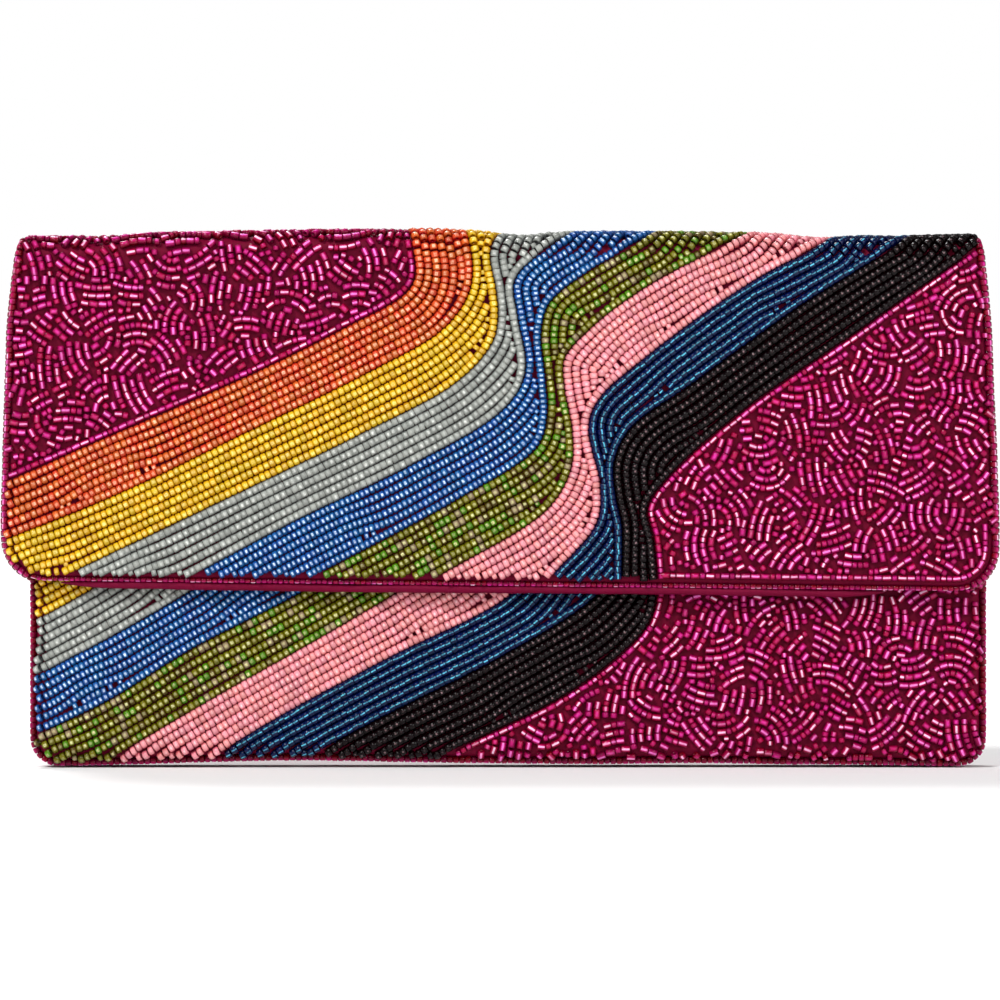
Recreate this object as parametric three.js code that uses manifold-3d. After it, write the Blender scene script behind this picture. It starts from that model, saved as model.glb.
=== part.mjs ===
// A beaded envelope clutch purse: a stiffened flat body with side gussets, and a wide flap
// that folds over the top and closes on the front with a magnetic snap.
//
// Frame: millimetres, +Z up, the front faces -Y, +X is to the right seen from the front.
// The origin is under the middle of the purse, which stands on its base (z = 0).
//
// Every wall is a stack of layers. From the outside in: bead embroidery, cover fabric, board,
// lining. The cover fabric of the flap, the top strip and the back is one cloth that folds
// twice over the top; here it is split at the two folds, which are the purse's hinges.

import * as THREE from "three";
import { mergeVertices } from "three/addons/utils/BufferGeometryUtils.js";
import Module from "manifold-3d";

const wasm = await Module();
wasm.setup();

// ---- Driving dimensions (mm) ----

// Overall
const DEPTH = 28; // front of the flap's beads to the back of the back beads
const TOP = 137; // top of the strip's beads
const BODY_WIDTH = 243; // the top strip has the same width
const BODY_SHIFT = 1.8; // the body sits a little to the right under its flap
const FLAP_EXTRA_TOP = 4; // how much wider than the body the flap is at the upper fold
const FLAP_EXTRA_LOW = 11; // and where it is widest, above its lower corners
const FLAP_DROP_LEFT = 89.5; // from the top down to the flap's lower edge at its left end
const FLAP_DROP_RIGHT = 91.5; // and at its right end

// Layers
const BEAD_T = 1.5;
const FABRIC_T = 0.5;
const BOARD_T = 1.2;
const LINING_T = 0.5;
const GUSSET_T = 0.8;
const GAP = 0.3; // between two pieces that touch

// Folds and corners
const FOLD_R = 3.5; // radius of the cover fabric round each top fold
const BODY_CORNER_R = 6;
const FLAP_CORNER_R = 6;
const LEAST_CORNER_R = 1; // of a corner that an inset layer leaves
const FLAP_FLARE_UP = 15.5; // the flap is at its widest this far above its lower edge
const SHOULDER_UP = 0.8; // its sides bend at this share of the way from there up to the fold
const SHOULDER_OUT = 0.45; // and there they have this share of their flare
const EDGE_W = 2; // width of the edge beading

// Front panel
const BINDING_H = 1.6;
const MOUTH_GAP = 2.5; // from the mouth's binding up to the strip's lining
const BEADS_UNDER_FLAP = 13.5; // how far the front beading runs on up under the flap

// Piping under the flap's lower edge
const PIPING_R = 1.1;
const PIPING_SHORT_LEFT = 15; // the roll stops this far inside the flap's left side
const PIPING_SHORT_RIGHT = 29; // and its right side

// Slip pocket on the back lining
const POCKET_WIDTH = 150;
const POCKET_HEIGHT = 78;
const POCKET_BOTTOM = 14;
const POCKET_DEPTH = 1.0; // between the pocket's cloth and the back lining
const POCKET_SEAM_W = 3;

// Magnetic snap
const SNAP_X = 0;
const SNAP_UP = 27.5; // centre of the snap above the flap's lower edge
const CASE_R = 8.5;
const CASE_DEPTH = 1.9;
const CASE_T = 0.4;
const BORE_R = 3.4;
const MAGNET_CLEARANCE = 0.35;
const STUD_R = 7.5;
const STUD_PLATE_T = 0.7;
const STUD_PIN_R = 2.6;
const STUD_PIN_LENGTH = 1.5;
const WASHER_R = 8.5;
const WASHER_BORE_R = 3;
const WASHER_T = 0.8;
const BOARD_HOLE_CLEARANCE = 0.8;
const SNAP_CLEARANCE = 0.4; // between the stud's plate and the case when the flap is closed

// Curve resolution
const CURVE_STEPS = 18;
const CORNER_STEPS = 5;
const ROUND_STEPS = 32;
const FOLD_STEPS = 6;
const PIPING_SIDES = 10;
const REACH = 30; // how far a stripe's border runs on past the panel before it is cut
const CUT_MARGIN = 1; // how far a cutting solid runs past the faces that it cuts

// Drawings of the borders between the bead colours, as points (x, z) that run downwards. Each
// drawing has its own width, bottom and top, and is stretched over its panel.
const FLAP_DRAWING = { width: 254, bottom: 46.5, top: 137 };
const FLAP_BORDERS = [
  [[-23, 137], [-21.5, 125.5], [-24, 121], [-39, 112.5], [-62, 101], [-93, 87.5], [-125, 73.5]],
  [
    [-8.5, 137], [-7, 128], [-8, 121], [-14.5, 112], [-33.5, 101], [-65, 85.5], [-95, 71],
    [-125.5, 58.5],
  ],
  [
    [-0.5, 137], [-2.5, 132], [-1, 122], [-0.5, 115], [-2, 108.5], [-11, 98.5], [-35, 85.5],
    [-65, 71], [-106, 51.5],
  ],
  [
    [17, 136.5], [6.5, 129], [3.5, 124], [4.5, 115], [6.5, 103], [5, 97], [-1, 90],
    [-23.5, 77], [-50.5, 64], [-77, 50],
  ],
  [
    [37, 136], [21.5, 126], [12.5, 118.5], [10.5, 111], [11.5, 100], [12, 90], [9.5, 82],
    [-11, 68.5], [-47.5, 49],
  ],
  [
    [61.5, 136.5], [38.5, 123.5], [23, 112], [16.5, 104.5], [16.5, 97], [18.5, 86], [18, 76],
    [12, 66], [-16.5, 48.5],
  ],
  [[82, 136], [61.5, 122.5], [38.5, 106], [25, 94], [22.5, 87], [25.5, 72], [24.5, 62.5], [13, 49]],
  [[101.5, 135.5], [80, 120.5], [48, 97.5], [33, 86.5], [29, 78], [29.5, 69], [31, 62], [31, 49]],
  [[121, 134], [92.5, 112.5], [61.5, 91], [43, 74.5], [37.5, 66.5], [39, 59], [40, 49]],
];
const FLAP_FIELDS = [
  "magenta_left", "orange", "yellow", "grey", "blue", "green", "pink", "teal", "black", "magenta_right",
];
const FRONT_DRAWING = { width: 243, bottom: 0, top: 60 };
const FRONT_BORDERS = [
  [[-84, 60], [-104, 46], [-119, 37.5]],
  [[-58, 60], [-80.5, 44.5], [-98.5, 34], [-118.5, 23.5]],
  [[-26, 60], [-52.5, 44], [-79, 30], [-100, 17], [-118, 8.5]],
  [[-6, 60], [-14, 52.5], [-28.5, 43.5], [-58.5, 25.5], [-99.5, 2]],
  [[13, 60], [9, 52], [1.5, 43.5], [-28, 28], [-57, 11.5], [-72, 2.5]],
  [[31, 62], [29.5, 52], [24.5, 44], [0, 28], [-23.5, 15.5], [-47, 2.5]],
  [[40, 60], [40, 44], [38, 37], [31, 29], [15.5, 17.5], [-15.5, 2]],
];
const FRONT_FIELDS = ["yellow", "grey", "blue", "green", "pink", "teal", "black", "magenta"];

// ---- Places of the layers through the depth (y) ----

// Y of each layer's outer face, for a wall whose bead surface is at the given y and whose
// inside lies in the direction inward (+1 or -1).
function wallLayers(outer, inward) {
  const beads = outer;
  const fabric = beads + inward * (BEAD_T + GAP);
  const board = fabric + inward * (FABRIC_T + GAP);
  const lining = board + inward * (BOARD_T + GAP);
  const inner = lining + inward * LINING_T;
  return { beads, fabric, board, lining, inner };
}

// The closed snap holds the flap off the front panel: from the flap's lining to the fabric.
const SNAP_STACK = GAP + STUD_PLATE_T + SNAP_CLEARANCE + CASE_DEPTH + GAP;

const FLAP = wallLayers(-DEPTH / 2, 1);
const FRONT = wallLayers(FLAP.inner + SNAP_STACK - BEAD_T - GAP, 1);
const BACK = wallLayers(DEPTH / 2, -1);

// The top strip has no board: it has to bend at both folds.
const STRIP_FABRIC_Z = TOP - BEAD_T - GAP;
const STRIP_LINING_Z = STRIP_FABRIC_Z - FABRIC_T - GAP;

// Middle of the cover fabric on the flap, the back and the strip, and the folds' centres.
const FLAP_MID_Y = FLAP.fabric + FABRIC_T / 2;
const BACK_MID_Y = BACK.fabric - FABRIC_T / 2;
const STRIP_MID_Z = STRIP_FABRIC_Z - FABRIC_T / 2;
const FOLD_Z = STRIP_MID_Z - FOLD_R;
const FRONT_FOLD_Y = FLAP_MID_Y + FOLD_R;
const BACK_FOLD_Y = BACK_MID_Y - FOLD_R;

// Widths and heights that follow from the driving ones.
const FLAP_TOP_WIDTH = BODY_WIDTH + FLAP_EXTRA_TOP;
const FLAP_LOW_WIDTH = BODY_WIDTH + FLAP_EXTRA_LOW;
const FLAP_LOW_LEFT = TOP - FLAP_DROP_LEFT;
const FLAP_LOW_RIGHT = TOP - FLAP_DROP_RIGHT;
const FLAP_LOW = (FLAP_LOW_LEFT + FLAP_LOW_RIGHT) / 2;
const FLAP_FLARE_Z = FLAP_LOW + FLAP_FLARE_UP;
const FRONT_TOP = STRIP_LINING_Z - LINING_T - MOUTH_GAP - BINDING_H - GAP;
const FRONT_BEADS_TOP = FLAP_LOW + BEADS_UNDER_FLAP;
const SNAP_Z = FLAP_LOW + SNAP_UP;

// The body's inside edges: gusset, then lining, and the board that stiffens the base.
const PANEL_INSET = GUSSET_T + GAP;
const BASE_LINING_Z = PANEL_INSET + BOARD_T + GAP;
const GUSSET_LINING_Y = [FRONT.inner + GAP, BACK.inner - GAP];

// ---- Helpers ----

function solidOf(geometry) {
  const bare = new THREE.BufferGeometry();
  const source = geometry.index ? geometry.toNonIndexed() : geometry;
  bare.setAttribute("position", source.getAttribute("position"));
  const merged = mergeVertices(bare, 1e-4);
  const vertProperties = new Float32Array(merged.attributes.position.array);
  const triVerts = new Uint32Array(merged.index.array);
  return new wasm.Manifold(new wasm.Mesh({ numProp: 3, vertProperties, triVerts }));
}

function geometryOf(solid) {
  const mesh = solid.getMesh();
  const geometry = new THREE.BufferGeometry();
  geometry.setAttribute("position", new THREE.BufferAttribute(mesh.vertProperties, 3));
  geometry.setIndex(new THREE.BufferAttribute(mesh.triVerts, 1));
  geometry.computeVertexNormals();
  return geometry;
}

// A flat piece: an outline in the front view (x, z), between two depths.
function slab(outline, y0, y1) {
  const near = Math.min(y0, y1);
  const far = Math.max(y0, y1);
  const options = { depth: far - near, bevelEnabled: false };
  const geometry = new THREE.ExtrudeGeometry(new THREE.Shape(outline), options);
  geometry.rotateX(Math.PI / 2);
  geometry.translate(0, far, 0);
  return geometry;
}

// A round piece about the snap's axis, from its profile as points (radius, y).
function turned(profile) {
  const points = profile.map(([r, y]) => new THREE.Vector2(r, y));
  const geometry = new THREE.LatheGeometry(points, ROUND_STEPS);
  geometry.translate(SNAP_X, 0, SNAP_Z);
  return geometry;
}

function ring(inner, outer, y0, y1) {
  return turned([[inner, y0], [outer, y0], [outer, y1], [inner, y1], [inner, y0]]);
}

function cut(geometry, tool) {
  return geometryOf(solidOf(geometry).subtract(solidOf(tool)));
}

function clip(geometry, region) {
  return geometryOf(solidOf(geometry).intersect(solidOf(region)));
}

function join(geometry, other) {
  return geometryOf(solidOf(geometry).add(solidOf(other)));
}

// The hole that a board has round the snap's washer.
function boardHole(boardY) {
  const radius = WASHER_R + BOARD_HOLE_CLEARANCE;
  const [y0, y1] = [boardY - CUT_MARGIN, boardY + BOARD_T + CUT_MARGIN];
  return turned([[0, y0], [radius, y0], [radius, y1], [0, y1]]);
}

// A quarter circle of points, from angle a to angle b (radians).
function arc(x, z, radius, a, b) {
  return Array.from({ length: CORNER_STEPS + 1 }, (_, i) => {
    const angle = a + ((b - a) * i) / CORNER_STEPS;
    return new THREE.Vector2(x + radius * Math.cos(angle), z + radius * Math.sin(angle));
  });
}

// ---- Outlines ----

// The body's front view without its closing top line, from the top left down and round to the
// top right, moved in by side and bottom.
function bodyEdge(side, bottom, top) {
  const left = BODY_SHIFT - BODY_WIDTH / 2 + side;
  const right = BODY_SHIFT + BODY_WIDTH / 2 - side;
  const radius = Math.max(BODY_CORNER_R - Math.max(side, bottom), LEAST_CORNER_R);
  return [
    new THREE.Vector2(left, top),
    ...arc(left + radius, bottom + radius, radius, Math.PI, Math.PI * 1.5),
    ...arc(right - radius, bottom + radius, radius, Math.PI * 1.5, Math.PI * 2),
    new THREE.Vector2(right, top),
  ];
}

// The flap's front view in the same way. Its sides flare towards the lower corners.
function flapEdge(inset) {
  const topHalf = FLAP_TOP_WIDTH / 2 - inset;
  const lowHalf = FLAP_LOW_WIDTH / 2 - inset;
  const radius = FLAP_CORNER_R - inset;
  const left = FLAP_LOW_LEFT + inset + radius;
  const right = FLAP_LOW_RIGHT + inset + radius;
  const shoulder = FLAP_FLARE_Z + (FOLD_Z - FLAP_FLARE_Z) * SHOULDER_UP;
  const shoulderHalf = topHalf + (lowHalf - topHalf) * SHOULDER_OUT;
  return [
    new THREE.Vector2(-topHalf, FOLD_Z),
    new THREE.Vector2(-shoulderHalf, shoulder),
    new THREE.Vector2(-lowHalf, FLAP_FLARE_Z),
    ...arc(-lowHalf + radius, left, radius, Math.PI, Math.PI * 1.5),
    ...arc(lowHalf - radius, right, radius, Math.PI * 1.5, Math.PI * 2),
    new THREE.Vector2(lowHalf, FLAP_FLARE_Z),
    new THREE.Vector2(shoulderHalf, shoulder),
    new THREE.Vector2(topHalf, FOLD_Z),
  ];
}

// A band along an edge, from its outer line to its inner line.
const bandOutline = (outer, inner) => [...outer, ...inner.slice().reverse()];

// A panel that a drawing is stretched over: a function from the drawing's point to a vector.
function stretched(drawing, width, bottom, top) {
  const rise = (top - bottom) / (drawing.top - drawing.bottom);
  return ([x, z]) =>
    new THREE.Vector3((x * width) / drawing.width, bottom + (z - drawing.bottom) * rise, 0);
}

// A colour border as a smooth line, carried on straight at both ends and moved sideways.
function borderLine(knots, sideways) {
  const curve = new THREE.CatmullRomCurve3(knots, false, "centripetal");
  const line = curve.getSpacedPoints(CURVE_STEPS);
  const first = line[0].clone().sub(line[1]).setLength(REACH).add(line[0]);
  const last = line.at(-1).clone().sub(line.at(-2)).setLength(REACH).add(line.at(-1));
  const whole = [first, ...line, last];
  return whole.map((p, i) => {
    const along = whole[Math.min(i + 1, whole.length - 1)].clone().sub(whole[Math.max(i - 1, 0)]);
    along.normalize();
    // Borders run downwards, so this is a step to the right seen from the front.
    return new THREE.Vector2(p.x - along.y * sideways, p.y + along.x * sideways);
  });
}

// The bead field between border i - 1 and border i, as a wide outline to be cut by its panel.
function fieldOutline(borders, i) {
  const far = FLAP_LOW_WIDTH;
  const corners = (line, x) => [new THREE.Vector2(x, line.at(-1).y), new THREE.Vector2(x, far)];
  if (i === 0) {
    const line = borderLine(borders[0], -GAP / 2);
    return [...line, ...corners(line, -far)];
  }
  const before = borderLine(borders[i - 1], GAP / 2);
  if (i === borders.length) return [...before, ...corners(before, far)];
  return bandOutline(before, borderLine(borders[i], -GAP / 2));
}

// ---- Pieces ----

const root = new THREE.Group();
const groups = { body: new THREE.Group(), top_strip: new THREE.Group(), flap: new THREE.Group() };
Object.values(groups).forEach((group) => root.add(group));

const material = (color, roughness, metalness = 0) =>
  new THREE.MeshStandardMaterial({ color, roughness, metalness });

const SATIN = material(0x8a0a4a, 0.45);
const LINING = material(0x7a1450, 0.55);
const BOARD = material(0xb8b0a0, 0.9);
const NICKEL = material(0xc9c6c0, 0.25, 1);
const MAGNET = material(0x4a4a4e, 0.5, 0.6);
const BEADS = {
  magenta: material(0xc01070, 0.3),
  orange: material(0xe8603c, 0.3),
  yellow: material(0xe0a020, 0.3),
  grey: material(0xa2a49c, 0.35),
  blue: material(0x5078c0, 0.3),
  green: material(0x7a9430, 0.3),
  pink: material(0xee8c98, 0.35),
  teal: material(0x104870, 0.25),
  black: material(0x1a0a14, 0.3),
};

function add(body, name, geometry, look) {
  const mesh = new THREE.Mesh(geometry, look);
  mesh.name = name;
  groups[body].add(mesh);
}

function frontPanel() {
  const outline = bodyEdge(PANEL_INSET, PANEL_INSET, FRONT_TOP);
  const fabric = slab(outline, FRONT.fabric, FRONT.fabric + FABRIC_T);
  const board = slab(outline, FRONT.board, FRONT.board + BOARD_T);
  const hole = boardHole(FRONT.board);
  add("body", "front_fabric", fabric, SATIN);
  add("body", "front_board", cut(board, hole), BOARD);
  add("body", "front_lining", slab(outline, FRONT.lining, FRONT.inner), LINING);
}

function mouthBinding() {
  const half = BODY_WIDTH / 2 - PANEL_INSET;
  const bottom = FRONT_TOP + GAP;
  const outline = [
    new THREE.Vector2(BODY_SHIFT - half, bottom),
    new THREE.Vector2(BODY_SHIFT + half, bottom),
    new THREE.Vector2(BODY_SHIFT + half, bottom + BINDING_H),
    new THREE.Vector2(BODY_SHIFT - half, bottom + BINDING_H),
  ];
  add("body", "mouth_binding", slab(outline, FRONT.fabric - GAP, FRONT.inner), SATIN);
}

function backPanel() {
  const outline = bodyEdge(PANEL_INSET, PANEL_INSET, FOLD_Z);
  add("body", "back_fabric", slab(outline, BACK.fabric, BACK.fabric - FABRIC_T), SATIN);
  add("body", "back_board", slab(outline, BACK.board, BACK.board - BOARD_T), BOARD);
  add("body", "back_lining", slab(outline, BACK.lining, BACK.inner), LINING);
}

// A side gusset: a strip down the side that turns under at the lower corner. side is -1 or 1.
function sideGusset(side) {
  const middle = BODY_SHIFT;
  const half = BODY_WIDTH / 2;
  const outerArc = arc(half - BODY_CORNER_R, BODY_CORNER_R, BODY_CORNER_R, 0, -Math.PI / 2);
  const innerR = BODY_CORNER_R - GUSSET_T;
  const innerArc = arc(half - BODY_CORNER_R, BODY_CORNER_R, innerR, -Math.PI / 2, 0);
  const outline = [
    new THREE.Vector2(half, FRONT_TOP),
    ...outerArc,
    ...innerArc,
    new THREE.Vector2(half - GUSSET_T, FRONT_TOP),
  ].map((p) => new THREE.Vector2(middle + side * p.x, p.y));
  const name = side < 0 ? "gusset_left" : "gusset_right";
  add("body", name, slab(outline, FRONT.fabric, BACK.fabric), SATIN);
}

function base() {
  const half = BODY_WIDTH / 2 - BODY_CORNER_R - GAP;
  const bar = (z0, z1) => [
    new THREE.Vector2(BODY_SHIFT - half, z0),
    new THREE.Vector2(BODY_SHIFT + half, z0),
    new THREE.Vector2(BODY_SHIFT + half, z1),
    new THREE.Vector2(BODY_SHIFT - half, z1),
  ];
  add("body", "base_fabric", slab(bar(0, GUSSET_T), FRONT.fabric, BACK.fabric), SATIN);
  add("body", "base_board", slab(bar(PANEL_INSET, PANEL_INSET + BOARD_T), ...GUSSET_LINING_Y), BOARD);
}

function gussetLining() {
  const outer = bodyEdge(PANEL_INSET, BASE_LINING_Z, FRONT_TOP);
  const inner = bodyEdge(PANEL_INSET + LINING_T, BASE_LINING_Z + LINING_T, FRONT_TOP);
  add("body", "gusset_lining", slab(bandOutline(outer, inner), ...GUSSET_LINING_Y), LINING);
}

function slipPocket() {
  const left = BODY_SHIFT - POCKET_WIDTH / 2;
  const right = BODY_SHIFT + POCKET_WIDTH / 2;
  const top = POCKET_BOTTOM + POCKET_HEIGHT;
  const box = (inset) => [
    new THREE.Vector2(left + inset, top),
    new THREE.Vector2(left + inset, POCKET_BOTTOM + inset),
    new THREE.Vector2(right - inset, POCKET_BOTTOM + inset),
    new THREE.Vector2(right - inset, top),
  ];
  const cloth = BACK.inner - POCKET_DEPTH;
  const sheet = slab(box(0), cloth - LINING_T, cloth);
  const seam = bandOutline(box(0), box(POCKET_SEAM_W));
  const rim = slab(seam, cloth - LINING_T / 2, BACK.inner - GAP);
  add("body", "slip_pocket", join(sheet, rim), LINING);
}

function frontBeads() {
  const inset = EDGE_W + GAP;
  const depth = [FRONT.beads, FRONT.beads + BEAD_T];
  const panel = slab(bodyEdge(inset, inset, FRONT_BEADS_TOP), ...depth);
  const place = stretched(FRONT_DRAWING, BODY_WIDTH, 0, FRONT_BEADS_TOP);
  const borders = FRONT_BORDERS.map((points) => points.map(place));
  FRONT_FIELDS.forEach((colour, i) => {
    const field = slab(fieldOutline(borders, i), depth[0] - CUT_MARGIN, depth[1] + CUT_MARGIN);
    add("body", "front_beads_" + colour, clip(panel, field), BEADS[colour]);
  });
  const rim = bandOutline(bodyEdge(0, GAP, FRONT_BEADS_TOP), bodyEdge(EDGE_W, EDGE_W, FRONT_BEADS_TOP));
  add("body", "front_edge_beads", slab(rim, ...depth), BEADS.magenta);
}

function backBeads() {
  const inset = EDGE_W + GAP;
  const depth = [BACK.beads, BACK.beads - BEAD_T];
  add("body", "back_beads", slab(bodyEdge(inset, inset, FOLD_Z), ...depth), BEADS.magenta);
  const rim = bandOutline(bodyEdge(0, GAP, FOLD_Z), bodyEdge(EDGE_W, EDGE_W, FOLD_Z));
  add("body", "back_edge_beads", slab(rim, ...depth), BEADS.magenta);
}

// The top strip: a band across the top, between the two folds.
function topStrip() {
  const band = (z, thickness) => {
    const half = BODY_WIDTH / 2;
    const outline = [
      new THREE.Vector2(-half, z - thickness),
      new THREE.Vector2(half, z - thickness),
      ...arc(half - thickness, z - thickness, thickness, 0, Math.PI / 2),
      ...arc(thickness - half, z - thickness, thickness, Math.PI / 2, Math.PI),
    ];
    return slab(outline, FRONT_FOLD_Y, BACK_FOLD_Y);
  };
  add("top_strip", "strip_beads", band(TOP, BEAD_T), BEADS.magenta);
  add("top_strip", "strip_fabric", band(STRIP_FABRIC_Z, FABRIC_T), SATIN);
  add("top_strip", "strip_lining", band(STRIP_LINING_Z, LINING_T), LINING);
}

// The cover fabric round a top fold: a quarter of a tube. side is -1 for the front, 1 for the
// back.
function foldFabric(body, name, side) {
  const centreY = side < 0 ? FRONT_FOLD_Y : BACK_FOLD_Y;
  const margin = GAP / FOLD_R;
  const circle = (radius, a, b) =>
    Array.from({ length: FOLD_STEPS + 1 }, (_, i) => {
      const angle = a + ((b - a) * i) / FOLD_STEPS;
      const y = centreY + side * radius * Math.cos(angle);
      return new THREE.Vector2(y, FOLD_Z + radius * Math.sin(angle));
    });
  const low = margin;
  const high = Math.PI / 2 - margin;
  const section = [
    ...circle(FOLD_R + FABRIC_T / 2, low, high),
    ...circle(FOLD_R - FABRIC_T / 2, high, low),
  ];
  const options = { depth: BODY_WIDTH, bevelEnabled: false };
  const geometry = new THREE.ExtrudeGeometry(new THREE.Shape(section), options);
  // The section's own axes (x, y, z) become the frame's (y, z, x).
  const turn = new THREE.Matrix4().set(0, 0, 1, 0, 1, 0, 0, 0, 0, 1, 0, 0, 0, 0, 0, 1);
  geometry.applyMatrix4(turn);
  geometry.translate(-BODY_WIDTH / 2, 0, 0);
  add(body, name, geometry, SATIN);
}

function flapPanel() {
  const outline = flapEdge(PANEL_INSET);
  const board = slab(outline, FLAP.board, FLAP.board + BOARD_T);
  const hole = boardHole(FLAP.board);
  add("flap", "flap_fabric", slab(outline, FLAP.fabric, FLAP.fabric + FABRIC_T), SATIN);
  add("flap", "flap_board", cut(board, hole), BOARD);
  add("flap", "flap_lining", slab(outline, FLAP.lining, FLAP.inner), LINING);
}

function flapBeads() {
  const depth = [FLAP.beads, FLAP.beads + BEAD_T];
  const panel = slab(flapEdge(EDGE_W + GAP), ...depth);
  const place = stretched(FLAP_DRAWING, FLAP_LOW_WIDTH, FLAP_LOW, TOP);
  const borders = FLAP_BORDERS.map((points) => points.map(place));
  FLAP_FIELDS.forEach((name, i) => {
    const field = slab(fieldOutline(borders, i), depth[0] - CUT_MARGIN, depth[1] + CUT_MARGIN);
    add("flap", "flap_beads_" + name, clip(panel, field), BEADS[name.split("_")[0]]);
  });
  const rim = bandOutline(flapEdge(0), flapEdge(EDGE_W));
  add("flap", "flap_edge_beads", slab(rim, ...depth), BEADS.magenta);
}

// The satin roll just under the flap's lower edge, behind the bead line.
function flapPiping() {
  const slope = (FLAP_LOW_RIGHT - FLAP_LOW_LEFT) / FLAP_LOW_WIDTH;
  const half = FLAP_LOW_WIDTH / 2;
  const y = FLAP.board + BOARD_T / 2;
  const drop = PANEL_INSET - GAP - PIPING_R; // its top touches the flap's fabric and board
  const point = (x) => new THREE.Vector3(x, y, FLAP_LOW + slope * x + drop);
  const path = new THREE.LineCurve3(point(PIPING_SHORT_LEFT - half), point(half - PIPING_SHORT_RIGHT));
  const section = Array.from({ length: PIPING_SIDES }, (_, i) => {
    const angle = (2 * Math.PI * i) / PIPING_SIDES;
    return new THREE.Vector2(PIPING_R * Math.cos(angle), PIPING_R * Math.sin(angle));
  });
  const options = { steps: 1, extrudePath: path };
  add("flap", "flap_piping", new THREE.ExtrudeGeometry(new THREE.Shape(section), options), SATIN);
}

// The snap's case, magnet and washer on the front panel, and its stud and washer on the flap.
function magneticSnap() {
  const back = FRONT.fabric - GAP;
  const face = back - CASE_DEPTH;
  const plate = face + CASE_T;
  const wall = CASE_R - CASE_T;
  const cup = [
    [BORE_R, face], [CASE_R, face], [CASE_R, back], [wall, back],
    [wall, plate], [BORE_R, plate], [BORE_R, face],
  ];
  add("body", "snap_socket", turned(cup), NICKEL);
  const magnet = ring(BORE_R + MAGNET_CLEARANCE, wall - MAGNET_CLEARANCE, plate + GAP, back);
  add("body", "snap_magnet", magnet, MAGNET);
  const frontWasher = FRONT.board + (BOARD_T - WASHER_T) / 2;
  const washer = (y) => ring(WASHER_BORE_R, WASHER_R, y, y + WASHER_T);
  add("body", "snap_socket_washer", washer(frontWasher), NICKEL);

  const seat = FLAP.inner + GAP;
  const shelf = seat + STUD_PLATE_T;
  const tip = shelf + STUD_PIN_LENGTH;
  const stud = [
    [0, seat], [STUD_R, seat], [STUD_R, shelf], [STUD_PIN_R, shelf], [STUD_PIN_R, tip], [0, tip],
  ];
  add("flap", "snap_stud", turned(stud), NICKEL);
  const flapWasher = FLAP.board + (BOARD_T - WASHER_T) / 2;
  add("flap", "snap_stud_washer", washer(flapWasher), NICKEL);
}

frontPanel();
mouthBinding();
backPanel();
sideGusset(-1);
sideGusset(1);
base();
gussetLining();
slipPocket();
frontBeads();
backBeads();
topStrip();
foldFabric("top_strip", "back_fold_fabric", 1);
foldFabric("flap", "front_fold_fabric", -1);
flapPanel();
flapBeads();
flapPiping();
magneticSnap();

export default root;
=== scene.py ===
import math

import bpy
import numpy as np
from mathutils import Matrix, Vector


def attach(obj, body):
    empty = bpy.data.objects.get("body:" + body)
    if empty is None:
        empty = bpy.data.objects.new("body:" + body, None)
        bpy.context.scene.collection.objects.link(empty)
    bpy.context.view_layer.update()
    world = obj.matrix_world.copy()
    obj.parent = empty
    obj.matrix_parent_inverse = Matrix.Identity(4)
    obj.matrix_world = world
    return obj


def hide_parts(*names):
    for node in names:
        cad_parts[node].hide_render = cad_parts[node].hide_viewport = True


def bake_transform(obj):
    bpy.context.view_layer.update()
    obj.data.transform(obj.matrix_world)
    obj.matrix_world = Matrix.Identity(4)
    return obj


# A beaded envelope clutch purse. Lengths in this script are millimetres until a mesh is made.
# Every soft layer is laid out flat first, as (x, v): x runs to the right and v runs up the
# front, over the top and down the back. A panel then bends that plan into place.

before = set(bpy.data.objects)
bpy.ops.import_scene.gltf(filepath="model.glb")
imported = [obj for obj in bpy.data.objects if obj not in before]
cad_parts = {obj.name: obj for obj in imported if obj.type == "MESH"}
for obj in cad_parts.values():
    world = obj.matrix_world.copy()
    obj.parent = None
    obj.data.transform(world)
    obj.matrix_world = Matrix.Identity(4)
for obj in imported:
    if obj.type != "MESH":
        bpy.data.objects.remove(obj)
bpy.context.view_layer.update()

MM = 0.001
PI = math.pi

# ---- Places that the CAD model sets ----

FOLD_Z = 131.45            # height of both top folds' centres
FRONT_FOLD_Y, BACK_FOLD_Y = -8.45, 8.45
COVER_R = 3.75             # outer radius of the cover cloth round a fold
ARC_R = 3.6                # radius at which the beads' spacing round a fold is measured
V1 = FOLD_Z                # the front fold starts
V2 = V1 + ARC_R * PI / 2   # the strip starts
V3 = V2 + BACK_FOLD_Y - FRONT_FOLD_Y
V4 = V3 + ARC_R * PI / 2   # the back starts
V_MID = (V2 + V3) / 2
FRONT_Y = -5.8             # outer face of the front panel's cloth
BACK_Y = 12.2
BODY_X = 2.1               # middle of the body
BODY_HALF = 122.6
MOUTH_Z = 129.5
BEADS_TOP = 60.0           # the front panel's beading ends under the flap
CLOTH_T = 0.4
BEAD_R = 0.95
BODY_ROLL = 2.6            # radius of the cloth round the body's edges
BODY_TURN = PI * 0.53      # how far round them the cloth goes
FLAP_ROLL = 1.3
STRIP_ROLL = 0.8
BEAD_REACH = 1.8           # how far beads stand out past a rolled edge
BODY_LOW = 4.5             # where the body's lower roll begins
SNAP_Z = 74.0


# ---- Flat drawing: smooth lines, distances, outlines ----

def rotate_left(d):
    return np.stack([-d[:, 1], d[:, 0]], 1)


def unit(v):
    return v / np.maximum(np.linalg.norm(v, axis=-1, keepdims=True), 1e-12)


def run_lengths(line):
    """How far along the line each of its points is."""
    return np.concatenate([[0], np.cumsum(np.linalg.norm(np.diff(line, axis=0), axis=1))])


def whole_length(line):
    return float(np.linalg.norm(np.diff(line, axis=0), axis=1).sum())


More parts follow.
